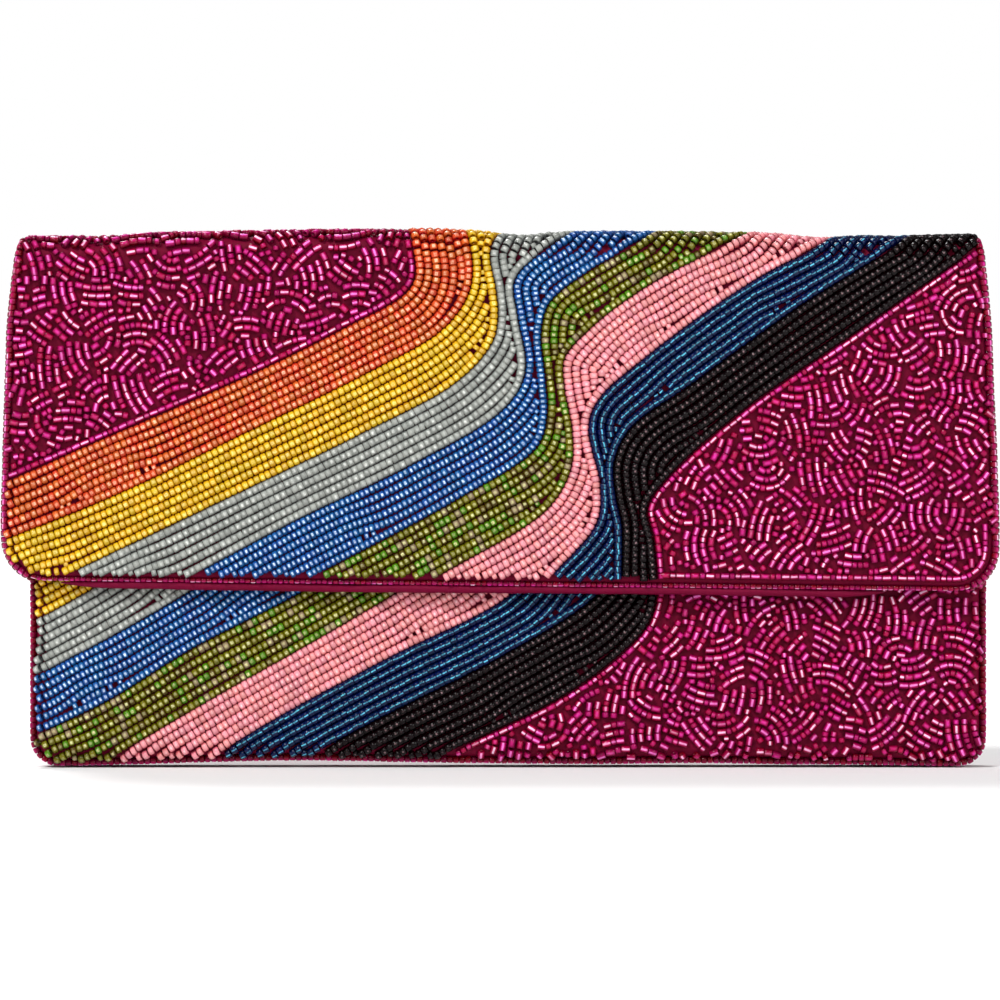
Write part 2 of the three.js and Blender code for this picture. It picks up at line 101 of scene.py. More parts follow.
def read_off(values, lengths, at):
    """The values that go with a line's points, read at other lengths along it."""
    return np.stack([np.interp(at, lengths, values[:, i]) for i in range(values.shape[1])], 1)


def resample(line, step):
    """The same line with points at even steps."""
    s = run_lengths(line)
    return read_off(line, s, np.linspace(0, s[-1], max(int(round(s[-1] / step)), 1) + 1))


def left_of(line):
    """At each point of a line, the way to its left."""
    return rotate_left(unit(np.gradient(line, axis=0)))


def steady_left_of(line):
    """The way to a line's left, smoothed along it."""
    d = unit(np.gradient(line, axis=0))
    for _ in range(3):
        d = unit(np.concatenate([d[:1], (d[:-2] + d[1:-1] + d[2:]) / 3, d[-1:]]))
    return rotate_left(d)


def grid_points(xs, vs):
    return np.stack([a.ravel() for a in np.meshgrid(xs, vs)], 1)


def smooth_curve(knots, step):
    """A smooth curve through the knots, with points at even steps."""
    k = np.array(knots, float)
    t = np.concatenate([[0], np.cumsum(np.sqrt(np.linalg.norm(np.diff(k, axis=0), axis=1)))])
    m = np.gradient(k, t, axis=0)
    parts = []
    for i in range(len(k) - 1):
        h = t[i + 1] - t[i]
        u = np.linspace(0, 1, 24, endpoint=False)[:, None]
        parts.append((2 * u**3 - 3 * u**2 + 1) * k[i] + (u**3 - 2 * u**2 + u) * h * m[i]
                     + (3 * u**2 - 2 * u**3) * k[i + 1] + (u**3 - u**2) * h * m[i + 1])
    return resample(np.concatenate(parts + [k[-1:]]), step)


def nearest(points, line, closed=False):
    """For each point: distance to the line, the nearest place on it, and that part's direction."""
    a = line if closed else line[:-1]
    b = np.roll(line, -1, 0) if closed else line[1:]
    ab = b - a
    length2 = np.maximum((ab**2).sum(1), 1e-12)
    heading = unit(ab)
    dist, foot, direction = [], [], []
    for i in range(0, len(points), 3000):
        p = points[i:i + 3000, None]
        t = np.clip(((p - a) * ab).sum(2) / length2, 0, 1)
        q = a + t[..., None] * ab
        d = np.linalg.norm(p - q, axis=2)
        j = d.argmin(1)
        rows = np.arange(len(j))
        dist.append(d[rows, j])
        foot.append(q[rows, j])
        direction.append(heading[j])
    return np.concatenate(dist), np.concatenate(foot), np.concatenate(direction)


def side_of(line, points):
    """Distance from a line that runs downwards: positive to its right, seen from the front."""
    d, foot, heading = nearest(points, line)
    return d * np.sign(((points - foot) * rotate_left(heading)).sum(1))


def arc_points(cx, cv, r, a0, a1, n=9):
    t = np.linspace(a0, a1, n)
    return np.stack([cx + r * np.cos(t), cv + r * np.sin(t)], 1)


class Panel:
    """A cloth panel: base() bends its plan into place, and its edges roll back by a radius."""

    def __init__(self, base, loop, roll):
        self.base, self.loop, self.roll = base, loop, roll

    def edge(self, points):
        """Signed distance to the outline (positive outside), nearest place and way out."""
        d, foot, heading = nearest(points, self.loop, closed=True)
        a, b = self.loop, np.roll(self.loop, -1, 0)
        x, v = points[:, 0, None], points[:, 1, None]
        crosses = (a[:, 1] > v) != (b[:, 1] > v)
        rise = np.where(a[:, 1] == b[:, 1], 1e-9, b[:, 1] - a[:, 1])
        at = a[:, 0] + (v - a[:, 1]) / rise * (b[:, 0] - a[:, 0])
        inside = (crosses & (x < at)).sum(1) % 2 == 1
        sign = np.where(inside, -1.0, 1.0)
        out = (points - foot) * sign[:, None]
        flat = -rotate_left(heading)
        out = np.where(d[:, None] > 1e-4, out, flat)
        return d * sign, foot, unit(out)

    def bend(self, foot, out, d, h):
        """Places in space, and the directions of +x, +v and outward there."""
        P0, V0, N0 = self.base(foot[:, 0], foot[:, 1])
        R = self.roll(foot[:, 1])
        phi = np.clip(d, 0, None) / R
        # past half a turn the cloth runs straight on
        beyond = np.clip(phi - PI, 0, None) * R
        phi = np.minimum(phi, PI)
        X0 = np.zeros_like(P0)
        X0[:, 0] = 1
        ox, ov = out[:, :1], out[:, 1:]
        O = ox * X0 + ov * V0
        T = -ov * X0 + ox * V0
        s, c = np.sin(phi)[:, None], np.cos(phi)[:, None]
        N = N0 * c + O * s
        along = O * c - N0 * s
        h = np.broadcast_to(h, d.shape)[:, None]
        P = P0 + R[:, None] * (s * O - (1 - c) * N0) + h * N + beyond[:, None] * along
        return P, ox * along - ov * T, ov * along + ox * T, N

    def place(self, points, h):
        d, foot, out = self.edge(points)
        inside = (d <= 0)[:, None]
        return self.bend(np.where(inside, points, foot), out, d, h)


def ease(x, a, b):
    t = np.clip((x - a) / (b - a), 0, 1)
    return t * t * (3 - 2 * t)


def bumps(x, *shapes):
    """The sum of round bumps, each from its middle, its width and its height."""
    return sum(h * np.exp(-(((x - c) / w) ** 2)) for c, w, h in shapes)


def top_wave(x):
    """The hand-sewn top edge isn't straight: its rises and dips."""
    return bumps(x, (-45, 40, 0.8), (5, 8, -1.2), (-122, 14, -0.9), (-102, 10, -0.9),
                 (122, 18, -0.6), (70, 22, 0.25), (81, 9, -1.0), (101, 11, -0.5), (84, 38, -0.6))


def bottom_bow(x):
    """The bottom edge stands on its corners and rises between them."""
    return bumps(x, (-52, 42, 1.5), (8, 30, 0.5), (52, 24, 0.8), (92, 20, 0.4))


def bow_at(x, z):
    """How far the bow of the bottom edge lifts a place on the body."""
    return bottom_bow(x) * (1 - ease(z, 3, 45))


def cover_base(x, v):
    """The cover: flap, front fold, strip, back fold and back, outer face of the cloth."""
    a = np.clip((v - V1) / ARC_R, 0, PI / 2)
    b = np.clip((v - V3) / ARC_R, 0, PI / 2)
    turn = a + b
    zero = np.zeros_like(turn)
    N = np.stack([zero, -np.cos(turn), np.sin(turn)], 1)
    V = np.stack([zero, np.sin(turn), np.cos(turn)], 1)
    y = FRONT_FOLD_Y - COVER_R * np.cos(a) + np.clip(v - V2, 0, V3 - V2) + COVER_R * np.sin(b)
    z = np.minimum(v, V1) - np.clip(v - V4, 0, None)
    z = z + COVER_R * np.sin(a) - COVER_R * (1 - np.cos(b))
    z = z + top_wave(x) * ease(v, V1 - 16, V2) * (1 - ease(v, V3, V4 + 12))
    z = z + bottom_bow(x) * ease(v, V4 + 85, V4 + 125)
    swell = 0.22 * np.sin(x / 17.0 + v / 23.0) * np.sin(v / 14.0 - x / 41.0)
    swell = swell + 0.12 * np.sin(x / 6.1 + 2.0) * np.sin(v / 7.3)
    P = np.stack([np.broadcast_to(x, z.shape), y, z], 1)
    return P + swell[:, None] * N, V, N


def front_base(x, v):
    zero = np.zeros_like(v)
    N = np.stack([zero, zero - 1, zero], 1)
    V = np.stack([zero, zero, zero + 1], 1)
    swell = 0.2 * np.sin(x / 19.0 + v / 13.0) * np.sin(v / 11.0 + 1.0) * (1 - ease(v, 46, 62))
    z = v + bow_at(x, v)
    P = np.stack([np.broadcast_to(x, v.shape), zero + FRONT_Y, z], 1)
    return P + swell[:, None] * N, V, N


def cover_roll(v):
    return np.interp(v, [V1 - 6, V2, V3, V4 + 8], [FLAP_ROLL, STRIP_ROLL, STRIP_ROLL, BODY_ROLL])


# How far the finished purse reaches to each side, along the cover.
REACH_V = [50, 62, 81, 96, 111.6, 121.8, V1, V2, V3, V4 + 6, V4 + 20]
REACH_LEFT = [127.4, 127.5, 127.1, 126.6, 126.1, 125.2, 124.0, 122.9, 121.8, 120.8, 120.5]
REACH_RIGHT = [127.6, 127.6, 127.0, 126.2, 125.7, 124.8, 123.8, 123.1, 123.0, 124.3, 124.7]


def cover_left(v):
    return -(np.interp(v, REACH_V, REACH_LEFT) - cover_roll(v) - BEAD_REACH)


def cover_right(v):
    return np.interp(v, REACH_V, REACH_RIGHT) - cover_roll(v) - BEAD_REACH


def flap_low(x):
    """The flap's lower outline, a little lower on the right."""
    return 48.8 - 0.01056 * x


FLAP_CORNER = 8.5
BODY_CORNER = 3.0
BACK_LOW_V = V4 + FOLD_Z - BODY_LOW


def cover_outline():
    left, right = float(cover_left(50)), float(cover_right(50))
    rc, rb = FLAP_CORNER, BODY_CORNER
    low_l, low_r = flap_low(left), flap_low(right)
    up = np.concatenate([np.arange(low_r + rc + 2, V4 + 24, 3.0), [BACK_LOW_V - rb]])
    down = np.concatenate([[BACK_LOW_V - rb], np.arange(V4 + 24, low_l + rc + 1, -3.0)])
    bl, br = float(cover_left(BACK_LOW_V)), float(cover_right(BACK_LOW_V))
    return np.concatenate([
        arc_points(left + rc, low_l + rc, rc, PI, 1.5 * PI),
        arc_points(right - rc, low_r + rc, rc, 1.5 * PI, 2 * PI),
        np.stack([cover_right(up), up], 1),
        arc_points(br - rb, BACK_LOW_V - rb, rb, 0, 0.5 * PI),
        arc_points(bl + rb, BACK_LOW_V - rb, rb, 0.5 * PI, PI),
        np.stack([cover_left(down), down], 1),
    ])


FRONT_LEFT = BODY_X - (BODY_HALF - BODY_ROLL - BEAD_REACH)
FRONT_RIGHT = BODY_X + (BODY_HALF - BODY_ROLL - BEAD_REACH)


def front_outline():
    rb = BODY_CORNER
    return np.concatenate([
        arc_points(FRONT_LEFT + rb, BODY_LOW + rb, rb, PI, 1.5 * PI),
        arc_points(FRONT_RIGHT - rb, BODY_LOW + rb, rb, 1.5 * PI, 2 * PI),
        [[FRONT_RIGHT, 400], [FRONT_LEFT, 400]],
    ])


COVER = Panel(cover_base, cover_outline(), cover_roll)
FRONT = Panel(front_base, front_outline(), lambda v: np.full(np.shape(v), BODY_ROLL))

# ---- Colour borders, as points (x, height) that run downwards ----

FLAP_BORDERS = [
    [(-23, 137), (-21.5, 125.5), (-24, 121), (-39, 112.5), (-62, 101), (-93, 87.5), (-125, 73.5)],
    [(-8.5, 137), (-7, 128), (-8, 121), (-14.5, 112), (-33.5, 101), (-65, 85.5), (-95, 71),
     (-125.5, 58.5)],
    [(-0.5, 137), (-2.5, 132), (-1, 122), (-0.5, 115), (-2, 108.5), (-11, 98.5), (-35, 85.5),
     (-65, 71), (-106, 51.5)],
    [(17, 136.5), (6.5, 129), (3.5, 124), (4.5, 115), (6.5, 103), (5, 97), (-1, 90), (-23.5, 77),
     (-50.5, 64), (-77, 50)],
    [(37, 136), (21.5, 126), (12.5, 118.5), (10.5, 111), (11.5, 100), (12, 90), (9.5, 82),
     (-11, 68.5), (-47.5, 49)],
    [(61.5, 136.5), (38.5, 123.5), (23, 112), (16.5, 104.5), (16.5, 97), (18.5, 86), (18, 76),
     (12, 66), (-16.5, 48.5)],
    [(82, 136), (61.5, 122.5), (38.5, 106), (25, 94), (22.5, 87), (25.5, 72), (24.5, 62.5),
     (13, 49)],
    [(101.5, 135.5), (80, 120.5), (48, 97.5), (33, 86.5), (29, 78), (29.5, 69), (31, 62),
     (31, 49)],
    [(121, 134), (92.5, 112.5), (61.5, 91), (43, 74.5), (37.5, 66.5), (39, 59), (40, 49)],
]
STRIPES = ["orange", "yellow", "grey", "blue", "green", "pink", "teal", "black"]
FRONT_BORDERS = [
    [(-93, 72.6), (-113, 58.6), (-128, 50)],
    [(-84, 60), (-104, 46), (-119, 37.5)],
    [(-58, 60), (-80.5, 44.5), (-98.5, 34), (-118.5, 23.5)],
    [(-26, 60), (-52.5, 44), (-79, 30), (-100, 17), (-118, 8.5)],
    [(-6, 60), (-14, 52.5), (-28.5, 43.5), (-58.5, 25.5), (-99.5, 2)],
    [(13, 60), (9, 52), (1.5, 43.5), (-28, 28), (-57, 11.5), (-72, 2.5)],
    [(31, 62), (29.5, 52), (24.5, 44), (0, 28), (-23.5, 15.5), (-47, 2.5)],
    [(40, 60), (40, 44), (38, 37), (31, 29), (15.5, 17.5), (-15.5, 2)],
]
STRIPES_END = V3 + 2.5     # the stripes stop at the back fold


def run_on(line, length, at_end):
    """The line carried on straight at one end."""
    if at_end:
        return np.concatenate([line, [line[-1] + unit(line[-1] - line[-4]) * length]])
    return np.concatenate([[line[0] + unit(line[0] - line[3]) * length], line])


def cover_border(knots):
    """A border on the flap, carried over the strip while it straightens out."""
    k = np.array(knots, float)
    lift = np.clip((k[:, 1] - V1) / (COVER_R + 2 * BEAD_R), 0, 0.985)
    k[:, 1] = np.where(k[:, 1] > V1, V1 + ARC_R * np.arcsin(lift), k[:, 1])
    line = run_on(smooth_curve(k, 0.5), 30, True)
    slope = np.clip((line[0, 0] - line[8, 0]) / (line[0, 1] - line[8, 1]), -1.2, 1.2)
    v = np.arange(V4 + 12, line[0, 1], -0.5)
    x = line[0, 0] + slope * 10 * (1 - np.exp(-(v - line[0, 1]) / 10))
    return resample(np.concatenate([np.stack([x, v], 1), line]), 0.5)


def front_border(knots):
    line = smooth_curve(knots, 0.5)
    return resample(run_on(run_on(line, 30, True), 12, False), 0.5)


# ---- Laying out the beads ----

class Beads:
    """A growing list of beads on a plan: place, direction, radius, length, kind and look."""

    def __init__(self):
        self.rows = []

    def add(self, p, d, *facts):
        if len(p):
            columns = [np.broadcast_to(np.asarray(a, float), len(p)) for a in facts]
            self.rows.append(np.column_stack([p, unit(d), *columns]))

    def all(self):
        return np.concatenate(self.rows)


LOOKS = ["magenta"] + STRIPES
SEED = {  # radius and length of each colour's beads
    "orange": (1.1, 1.52), "yellow": (1.1, 1.5), "grey": (1.1, 1.5), "blue": (1.08, 1.3),
    "green": (1.08, 1.48), "pink": (1.14, 1.43), "teal": (1.14, 1.5), "black": (1.12, 1.5),
}
TUBES = ("grey", "teal", "black")  # their beads are straight-sided
ROW_PITCH = 2.18
ROW_BREAK = 3.5            # points further apart than this belong to separate rows
TRUE_OFFSET = 0.965        # a row stops where it comes nearer to its border than this share
HOLE = 1.42                # the free distance round a spot that needs one more bead
MAGENTA_R = 0.85           # the beads of a single magenta row
CUT_LENGTH = (1.9, 2.4)    # shortest and longest of the cut beads
ROUND_LENGTH = (1.2, 1.5)
PATCH = 8.0                # the magenta filling wanders in patches of this size
RUN_PITCH = 2.15           # from one of its curved runs to the next
LINE_OFF = 1.05            # a magenta row's distance from the stripes


def breaks(line):
    """Where a line jumps."""
    return np.where(np.linalg.norm(np.diff(line, axis=0), axis=1) > ROW_BREAK)[0] + 1


def pieces_where(line, good):
    """The stretches of a line that are good and longer than a few beads."""
    kept = line[good(line)]
    if len(kept) < 8:
        return []
    return [part for part in np.split(kept, breaks(kept)) if len(part) > 7]


def stripe_rows(A, B):
    """Rows beside border A, each ending where border B cuts it off. Yields line and pitch."""
    side = steady_left_of(A)
    width = nearest(A, B)[0]
    count = np.maximum(np.round(width / ROW_PITCH), 1)
    pitch = np.clip(width / count, 1.92, 2.42)
    window = np.hanning(35) / np.hanning(35).sum()
    pitch = np.convolve(np.pad(pitch, 17, mode="edge"), window, "valid")
    for k in range(int(count.max()) + 1):
        off = (k + 0.5) * pitch
        q = A + off[:, None] * side
        true = nearest(q, A)[0] >= TRUE_OFFSET * off
        q, p = q[true], pitch[true]
        if len(q) < 6:
            continue
        for part, pp in zip(np.split(q, breaks(q)), np.split(p, breaks(q))):
            if len(part) > 4:
                yield part, float(pp.mean())


def lay_stripe(beads, A, B, colour, keep, rng):
    """Rows of one colour. One row follows border B all the way. The others follow border A
    until they meet that row."""
    radius, length = SEED[colour]
    half = ROW_PITCH / 2
    rows = [(part, ROW_PITCH, 0.0) for part in pieces_where(
        B - half * steady_left_of(B),
        lambda q: (nearest(q, B)[0] >= TRUE_OFFSET * half) & (side_of(A, q) > 1.45 * half))]
    rows += [(line, pitch, half + 0.68 * pitch) for line, pitch in stripe_rows(A, B)]
    laid = []
    for line, pitch, room in rows:
        fine = resample(line, 0.25)
        s = run_lengths(fine)
        steps = length * rng.uniform(0.93, 1.1, int(s[-1] / length) + 2) + 0.05
        at = np.cumsum(steps) - steps * rng.uniform(0, 1)
        sizes = steps[at < s[-1]] - 0.05
        at = at[at < s[-1]]
        p, ahead, back = (read_off(fine, s, at + shift) for shift in (0, 0.7, -0.7))
        ok = (-side_of(B, p) >= room) & keep(p)
        r = min(radius, pitch * 0.52) * rng.uniform(0.95, 1.03, len(p))
        beads.add(p[ok], (ahead - back)[ok], r[ok], sizes[ok], colour in TUBES,
                  LOOKS.index(colour))
        laid.append(np.column_stack([p, ahead - back])[ok])
    fill_stripe(beads, np.concatenate(laid), A, B, colour, keep, rng)


def distance_to(places, points):
    """For each place, the nearest of the points: how far it is, and which one."""
    far, which = [], []
    for i in range(0, len(places), 1500):
        d = np.linalg.norm(places[i:i + 1500, None] - points, axis=2)
        far.append(d.min(1))
        which.append(d.argmin(1))
    return np.concatenate(far), np.concatenate(which)


def fill_stripe(beads, laid, A, B, colour, keep, rng):
    """Single beads close the holes between a stripe's rows, the widest holes first."""
    x0, v0 = laid[:, :2].min(0) - 1
    x1, v1 = laid[:, :2].max(0) + 1
    spots = grid_points(np.arange(x0, x1, 0.6), np.arange(v0, v1, 0.6))
    far, which = distance_to(spots, laid[:, :2])
    spots, far, which = (a[(far > HOLE) & (far < 4)] for a in (spots, far, which))
    ok = (side_of(A, spots) > 0.95) & (-side_of(B, spots) > 0.95) & keep(spots)
    spots, far, which = spots[ok], far[ok], which[ok]
    added, room = [], []
    while len(spots) and far.max() > HOLE:
        i = far.argmax()
        added.append(np.concatenate([spots[i], laid[which[i], 2:]]))
        room.append(far[i])
        far = np.minimum(far, np.linalg.norm(spots - spots[i], axis=1))
    if added:
        a, room = np.array(added), np.array(room)
        r = np.clip(room - 0.62, 0.78, 1.05) * rng.uniform(0.96, 1.03, len(a))
        beads.add(a[:, :2], a[:, 2:], r, 1.25, colour in TUBES, LOOKS.index(colour))


def cut_and_length(rng, n, share):
    """Which of n magenta beads are cut, and how long each bead is."""
    cut = rng.uniform(0, 1, n) < share
    return cut, np.where(cut, rng.uniform(*CUT_LENGTH, n), rng.uniform(*ROUND_LENGTH, n))


def lay_along(beads, line, keep, rng):
    """One row of magenta beads along a line."""
    fine = resample(line, 0.25)
    s = run_lengths(fine)
    cut, size = cut_and_length(rng, int(s[-1] / 1.3), 0.5)
    end = np.cumsum(size + 0.12)
    at = end - size / 2
    use = at < s[-1]
    at, size, cut = at[use], size[use], cut[use]
    p = read_off(fine, s, at)
    d = read_off(fine, s, at + 0.6) - read_off(fine, s, at - 0.6)
    ok = keep(p)
    r = MAGENTA_R * rng.uniform(0.92, 1.04, ok.sum())
    beads.add(p[ok], d[ok], r, size[ok], cut[ok], 0)


def vermicelli(beads, clearance, box, rng):
    """Fills a field with short curved runs of beads that wander patch by patch. clearance()
    gives how far a point is inside the field. Beads already laid are kept clear."""
    x0, x1, v0, v1 = box
    seeds = grid_points(np.arange(x0, x1, PATCH), np.arange(v0, v1, PATCH))
    seeds = seeds + rng.uniform(-0.42, 0.42, seeds.shape) * PATCH
    seeds = seeds[clearance(seeds) > -PATCH]
    tried = []
    for i, seed in enumerate(seeds):
        a, rho = rng.uniform(0, 2 * PI), rng.uniform(4, 24)
        centre = seed + rho * np.array([math.cos(a), math.sin(a)])
        near = seeds[np.linalg.norm(seeds - seed, axis=1) < 3.2 * PATCH]
        for r in np.arange(rng.uniform(1.3, 2.6), rho + PATCH, RUN_PITCH):
            n = int(2 * PI * r / 1.45) + 1
            cut, size = cut_and_length(rng, n, 0.52)
            at = np.cumsum(size + 0.1) - size / 2
            use = at < 2 * PI * r - 1
            at, size, cut = at[use], size[use], cut[use]
            t = at / r + rng.uniform(0, 2 * PI)
            p = centre + r * np.stack([np.cos(t), np.sin(t)], 1)
            own = np.linalg.norm(p - seed, axis=1)
            first = np.linalg.norm(p[:, None] - near, axis=2).min(1) >= own - 1e-9
            if first.any():
                d = np.stack([-np.sin(t), np.cos(t)], 1)
                tried.append(np.column_stack([p, d, size, cut, np.full(n, i)[use]])[first])
    tried = np.concatenate(tried)
    tried = tried[clearance(tried[:, :2]) > 0.75]
    grid = {}  # the points of the beads laid so far, by square
    square = 3.0

    def samples(p, d, length):
        """Three points along a bead."""
        k = max(length / 2 - 0.45, 0.1)
        return [(p[0] + i * d[0], p[1] + i * d[1]) for i in (-k, 0, k)]

    def clear(points, gap, patch=-2):
        for x, v in points:
            cx, cv = int(x // square), int(v // square)
            for i in (cx - 1, cx, cx + 1):
                for j in (cv - 1, cv, cv + 1):
                    for a, b, owner in grid.get((i, j), ()):
                        if owner != patch and (a - x) ** 2 + (b - v) ** 2 < gap * gap:
                            return False
        return True

    def note(points, patch=-1):
        for x, v in points:
            grid.setdefault((int(x // square), int(v // square)), []).append((x, v, patch))

    for row in beads.all():
        note(samples(row[:2], row[2:4], row[5]))
    taken = []
    for row in tried:
        points = samples(row[:2], row[2:4], row[4])
        if clear(points, 1.3, row[6]):
            note(points, row[6])
            taken.append(row[:6])
    # Short beads close the holes that are left.
    darts = grid_points(np.arange(x0, x1, 0.8), np.arange(v0, v1, 0.8))
    darts = darts + rng.uniform(-0.3, 0.3, darts.shape)
    darts = darts[clearance(darts) > 0.9]
    laid = np.array(taken)
    for p in darts[rng.permutation(len(darts))]:
        if clear([p], 1.5):
            j = ((laid[:, :2] - p) ** 2).sum(1).argmin()
            a = math.atan2(laid[j, 3], laid[j, 2]) + rng.normal(0, 0.35)
            d = (math.cos(a), math.sin(a))
            note([p])
            taken.append(np.array([p[0], p[1], d[0], d[1], 1.25, 0]))
    t = np.array(taken)
    r = 0.92 * rng.uniform(0.94, 1.05, len(t))
    beads.add(t[:, :2], t[:, 2:4], r, t[:, 4], t[:, 5], 0)


def laid_cover():
    """Every bead on the flap, the strip and the back, on the cover's plan."""
    rng = np.random.default_rng(7)
    borders = [cover_border(k) for k in FLAP_BORDERS]
    beads = Beads()

    def room(p):
        """How far out a place is, and how far the nearest edge is a side edge, 0 to 1."""
        d, _, out = COVER.edge(p)
        return d, np.abs(out[:, 0])

    def keep(p):
        d, side = room(p)
        return (d < 0.1 + 0.5 * side) & (p[:, 1] < STRIPES_END)

    for i, colour in enumerate(STRIPES):
        lay_stripe(beads, borders[i], borders[i + 1], colour, keep, rng)
    first, last = borders[0], borders[-1]
    inside = lambda p: COVER.edge(p)[0] < 0.4
    for line in (first - LINE_OFF * left_of(first), last + LINE_OFF * left_of(last)):
        lay_along(beads, line, lambda p: inside(p) & (p[:, 1] < STRIPES_END), rng)
    loop = resample(COVER.loop, 0.5)
    edge = (loop + 0.95 * left_of(loop))[loop[:, 1] < 62]
    lay_along(beads, edge[edge[:, 0] > 20], lambda p: inside(p) & (side_of(last, p) > 1.9), rng)

    def clearance(p):
        d, side = room(p)
        field = np.maximum(-side_of(first, p), side_of(last, p))
        field = np.maximum(field, p[:, 1] - STRIPES_END)
        back = p[:, 1] > V4
        reach = np.where(back, 2.7, 0.5) * side + np.where(back, 1.6, 0.0) * (1 - side)
        return np.minimum(field, reach + 0.9 - d)

    vermicelli(beads, clearance, (-126, 126, 48, BACK_LOW_V + 4), rng)
    return beads.all()


def laid_front():
    """Every bead on the front panel, on its plan."""
    rng = np.random.default_rng(11)
    borders = [front_border(k) for k in FRONT_BORDERS]
    beads = Beads()
    reach = lambda out: 1.9 + 0.1 * np.abs(out[:, 0])

    def keep(p):
        d, _, out = FRONT.edge(p)
        return (d < reach(out)) & (p[:, 1] < BEADS_TOP)

    for i, colour in enumerate(STRIPES[1:]):
        lay_stripe(beads, borders[i], borders[i + 1], colour, keep, rng)
    last = borders[-1]
    lay_along(beads, last + LINE_OFF * left_of(last), keep, rng)

    def clearance(p):
        d, _, out = FRONT.edge(p)
        field = np.minimum(side_of(last, p), BEADS_TOP - p[:, 1])
        return np.minimum(field, reach(out) + 0.9 - d)

    vermicelli(beads, clearance, (-20, 124, 0, BEADS_TOP), rng)
    return beads.all()


def edge_beads(panel, spans, turn, rng, radius=0.9, length=1.5, h=None):
    """A line of beads along a panel's rolled edge, turned back by an angle. spans() picks the
    part of the edge."""
    loop = resample(np.concatenate([panel.loop, panel.loop[:1]]), 0.25)[:-1]
    d = unit(np.roll(loop, -3, 0) - np.roll(loop, 3, 0))
    out = -rotate_left(d)
    height = np.full(len(loop), radius if h is None else h)
    P, _, _, N = panel.bend(loop, out, turn * panel.roll(loop[:, 1]), height)
    s = run_lengths(P)
    at = np.arange(0, s[-1], length + 0.05)
    at = at[spans(read_off(loop, s, at))]
    P, N, before, after = (read_off(a, s, at + shift)
                           for a, shift in ((P, 0), (N, 0), (P, -0.6), (P, 0.6)))
    axis = after - before
    n = len(at)
    return {"P": P, "A": axis, "N": N, "r": radius * rng.uniform(0.93, 1.05, n),
            "L": length * rng.uniform(0.92, 1.04, n), "cut": np.zeros(n), "look": np.zeros(n, int)}


def bent(panel, rows, rng):
    """Beads of a plan, bent into place."""
    P, EX, EV, N = panel.place(rows[:, :2], rows[:, 4] + rng.uniform(-0.07, 0.07, len(rows)))
    turn = rng.normal(0, 0.05, len(rows))
    dx = rows[:, 2] * np.cos(turn) - rows[:, 3] * np.sin(turn)
    dv = rows[:, 2] * np.sin(turn) + rows[:, 3] * np.cos(turn)
    return {"P": P, "A": unit(dx[:, None] * EX + dv[:, None] * EV), "N": N, "r": rows[:, 4],
            "L": rows[:, 5], "cut": rows[:, 6], "look": rows[:, 7].astype(int)}


def picked(beads, mask):
    return {k: a[mask] for k, a in beads.items()}


def joined(parts):
    return {k: np.concatenate([p[k] for p in parts]) for k in parts[0]}


# ---- Meshes ----

def new_object(name, verts, faces, materials, index=None, smooth=True):
    """An object from vertices (mm) and a list of face arrays, each of one size."""
    me = bpy.data.meshes.new(name)
    loops = np.concatenate([f.ravel() for f in faces])
    sizes = np.concatenate([np.full(len(f), f.shape[1]) for f in faces])
    me.vertices.add(len(verts))
    me.vertices.foreach_set("co", (np.asarray(verts) * MM).astype(np.float32).ravel())
    me.loops.add(len(loops))
    me.loops.foreach_set("vertex_index", loops.astype(np.int32))
    me.polygons.add(len(sizes))
    starts = np.concatenate([[0], np.cumsum(sizes)[:-1]])
    me.polygons.foreach_set("loop_start", starts.astype(np.int32))
    for m in materials:
        me.materials.append(m)
    if index is not None:
        me.polygons.foreach_set("material_index", index.astype(np.int32))
    me.polygons.foreach_set("use_smooth", np.full(len(sizes), smooth))
    me.update(calc_edges=True)
    ob = bpy.data.objects.new(name, me)
    bpy.context.scene.collection.objects.link(ob)
    return ob


def vector_attribute(ob, name, values):
    a = ob.data.attributes.new(name, "FLOAT_VECTOR", "POINT")
    a.data.foreach_set("vector", np.asarray(values, np.float32).ravel())


SIDES = 9
# A bead's section, from its bore and round the outside, as shares of its radius and half length.
ROUND = np.array([(0.36, -0.7), (0.78, -0.99), (1.0, -0.62), (1.0, 0.62), (0.78, 0.99),
                  (0.36, 0.7)])
CUT = np.array([(0.34, -0.96), (0.86, -1.0), (0.99, -0.9), (0.99, 0.9), (0.86, 1.0),
                (0.34, 0.96)])
BEADS_PER_PIECE = 1700


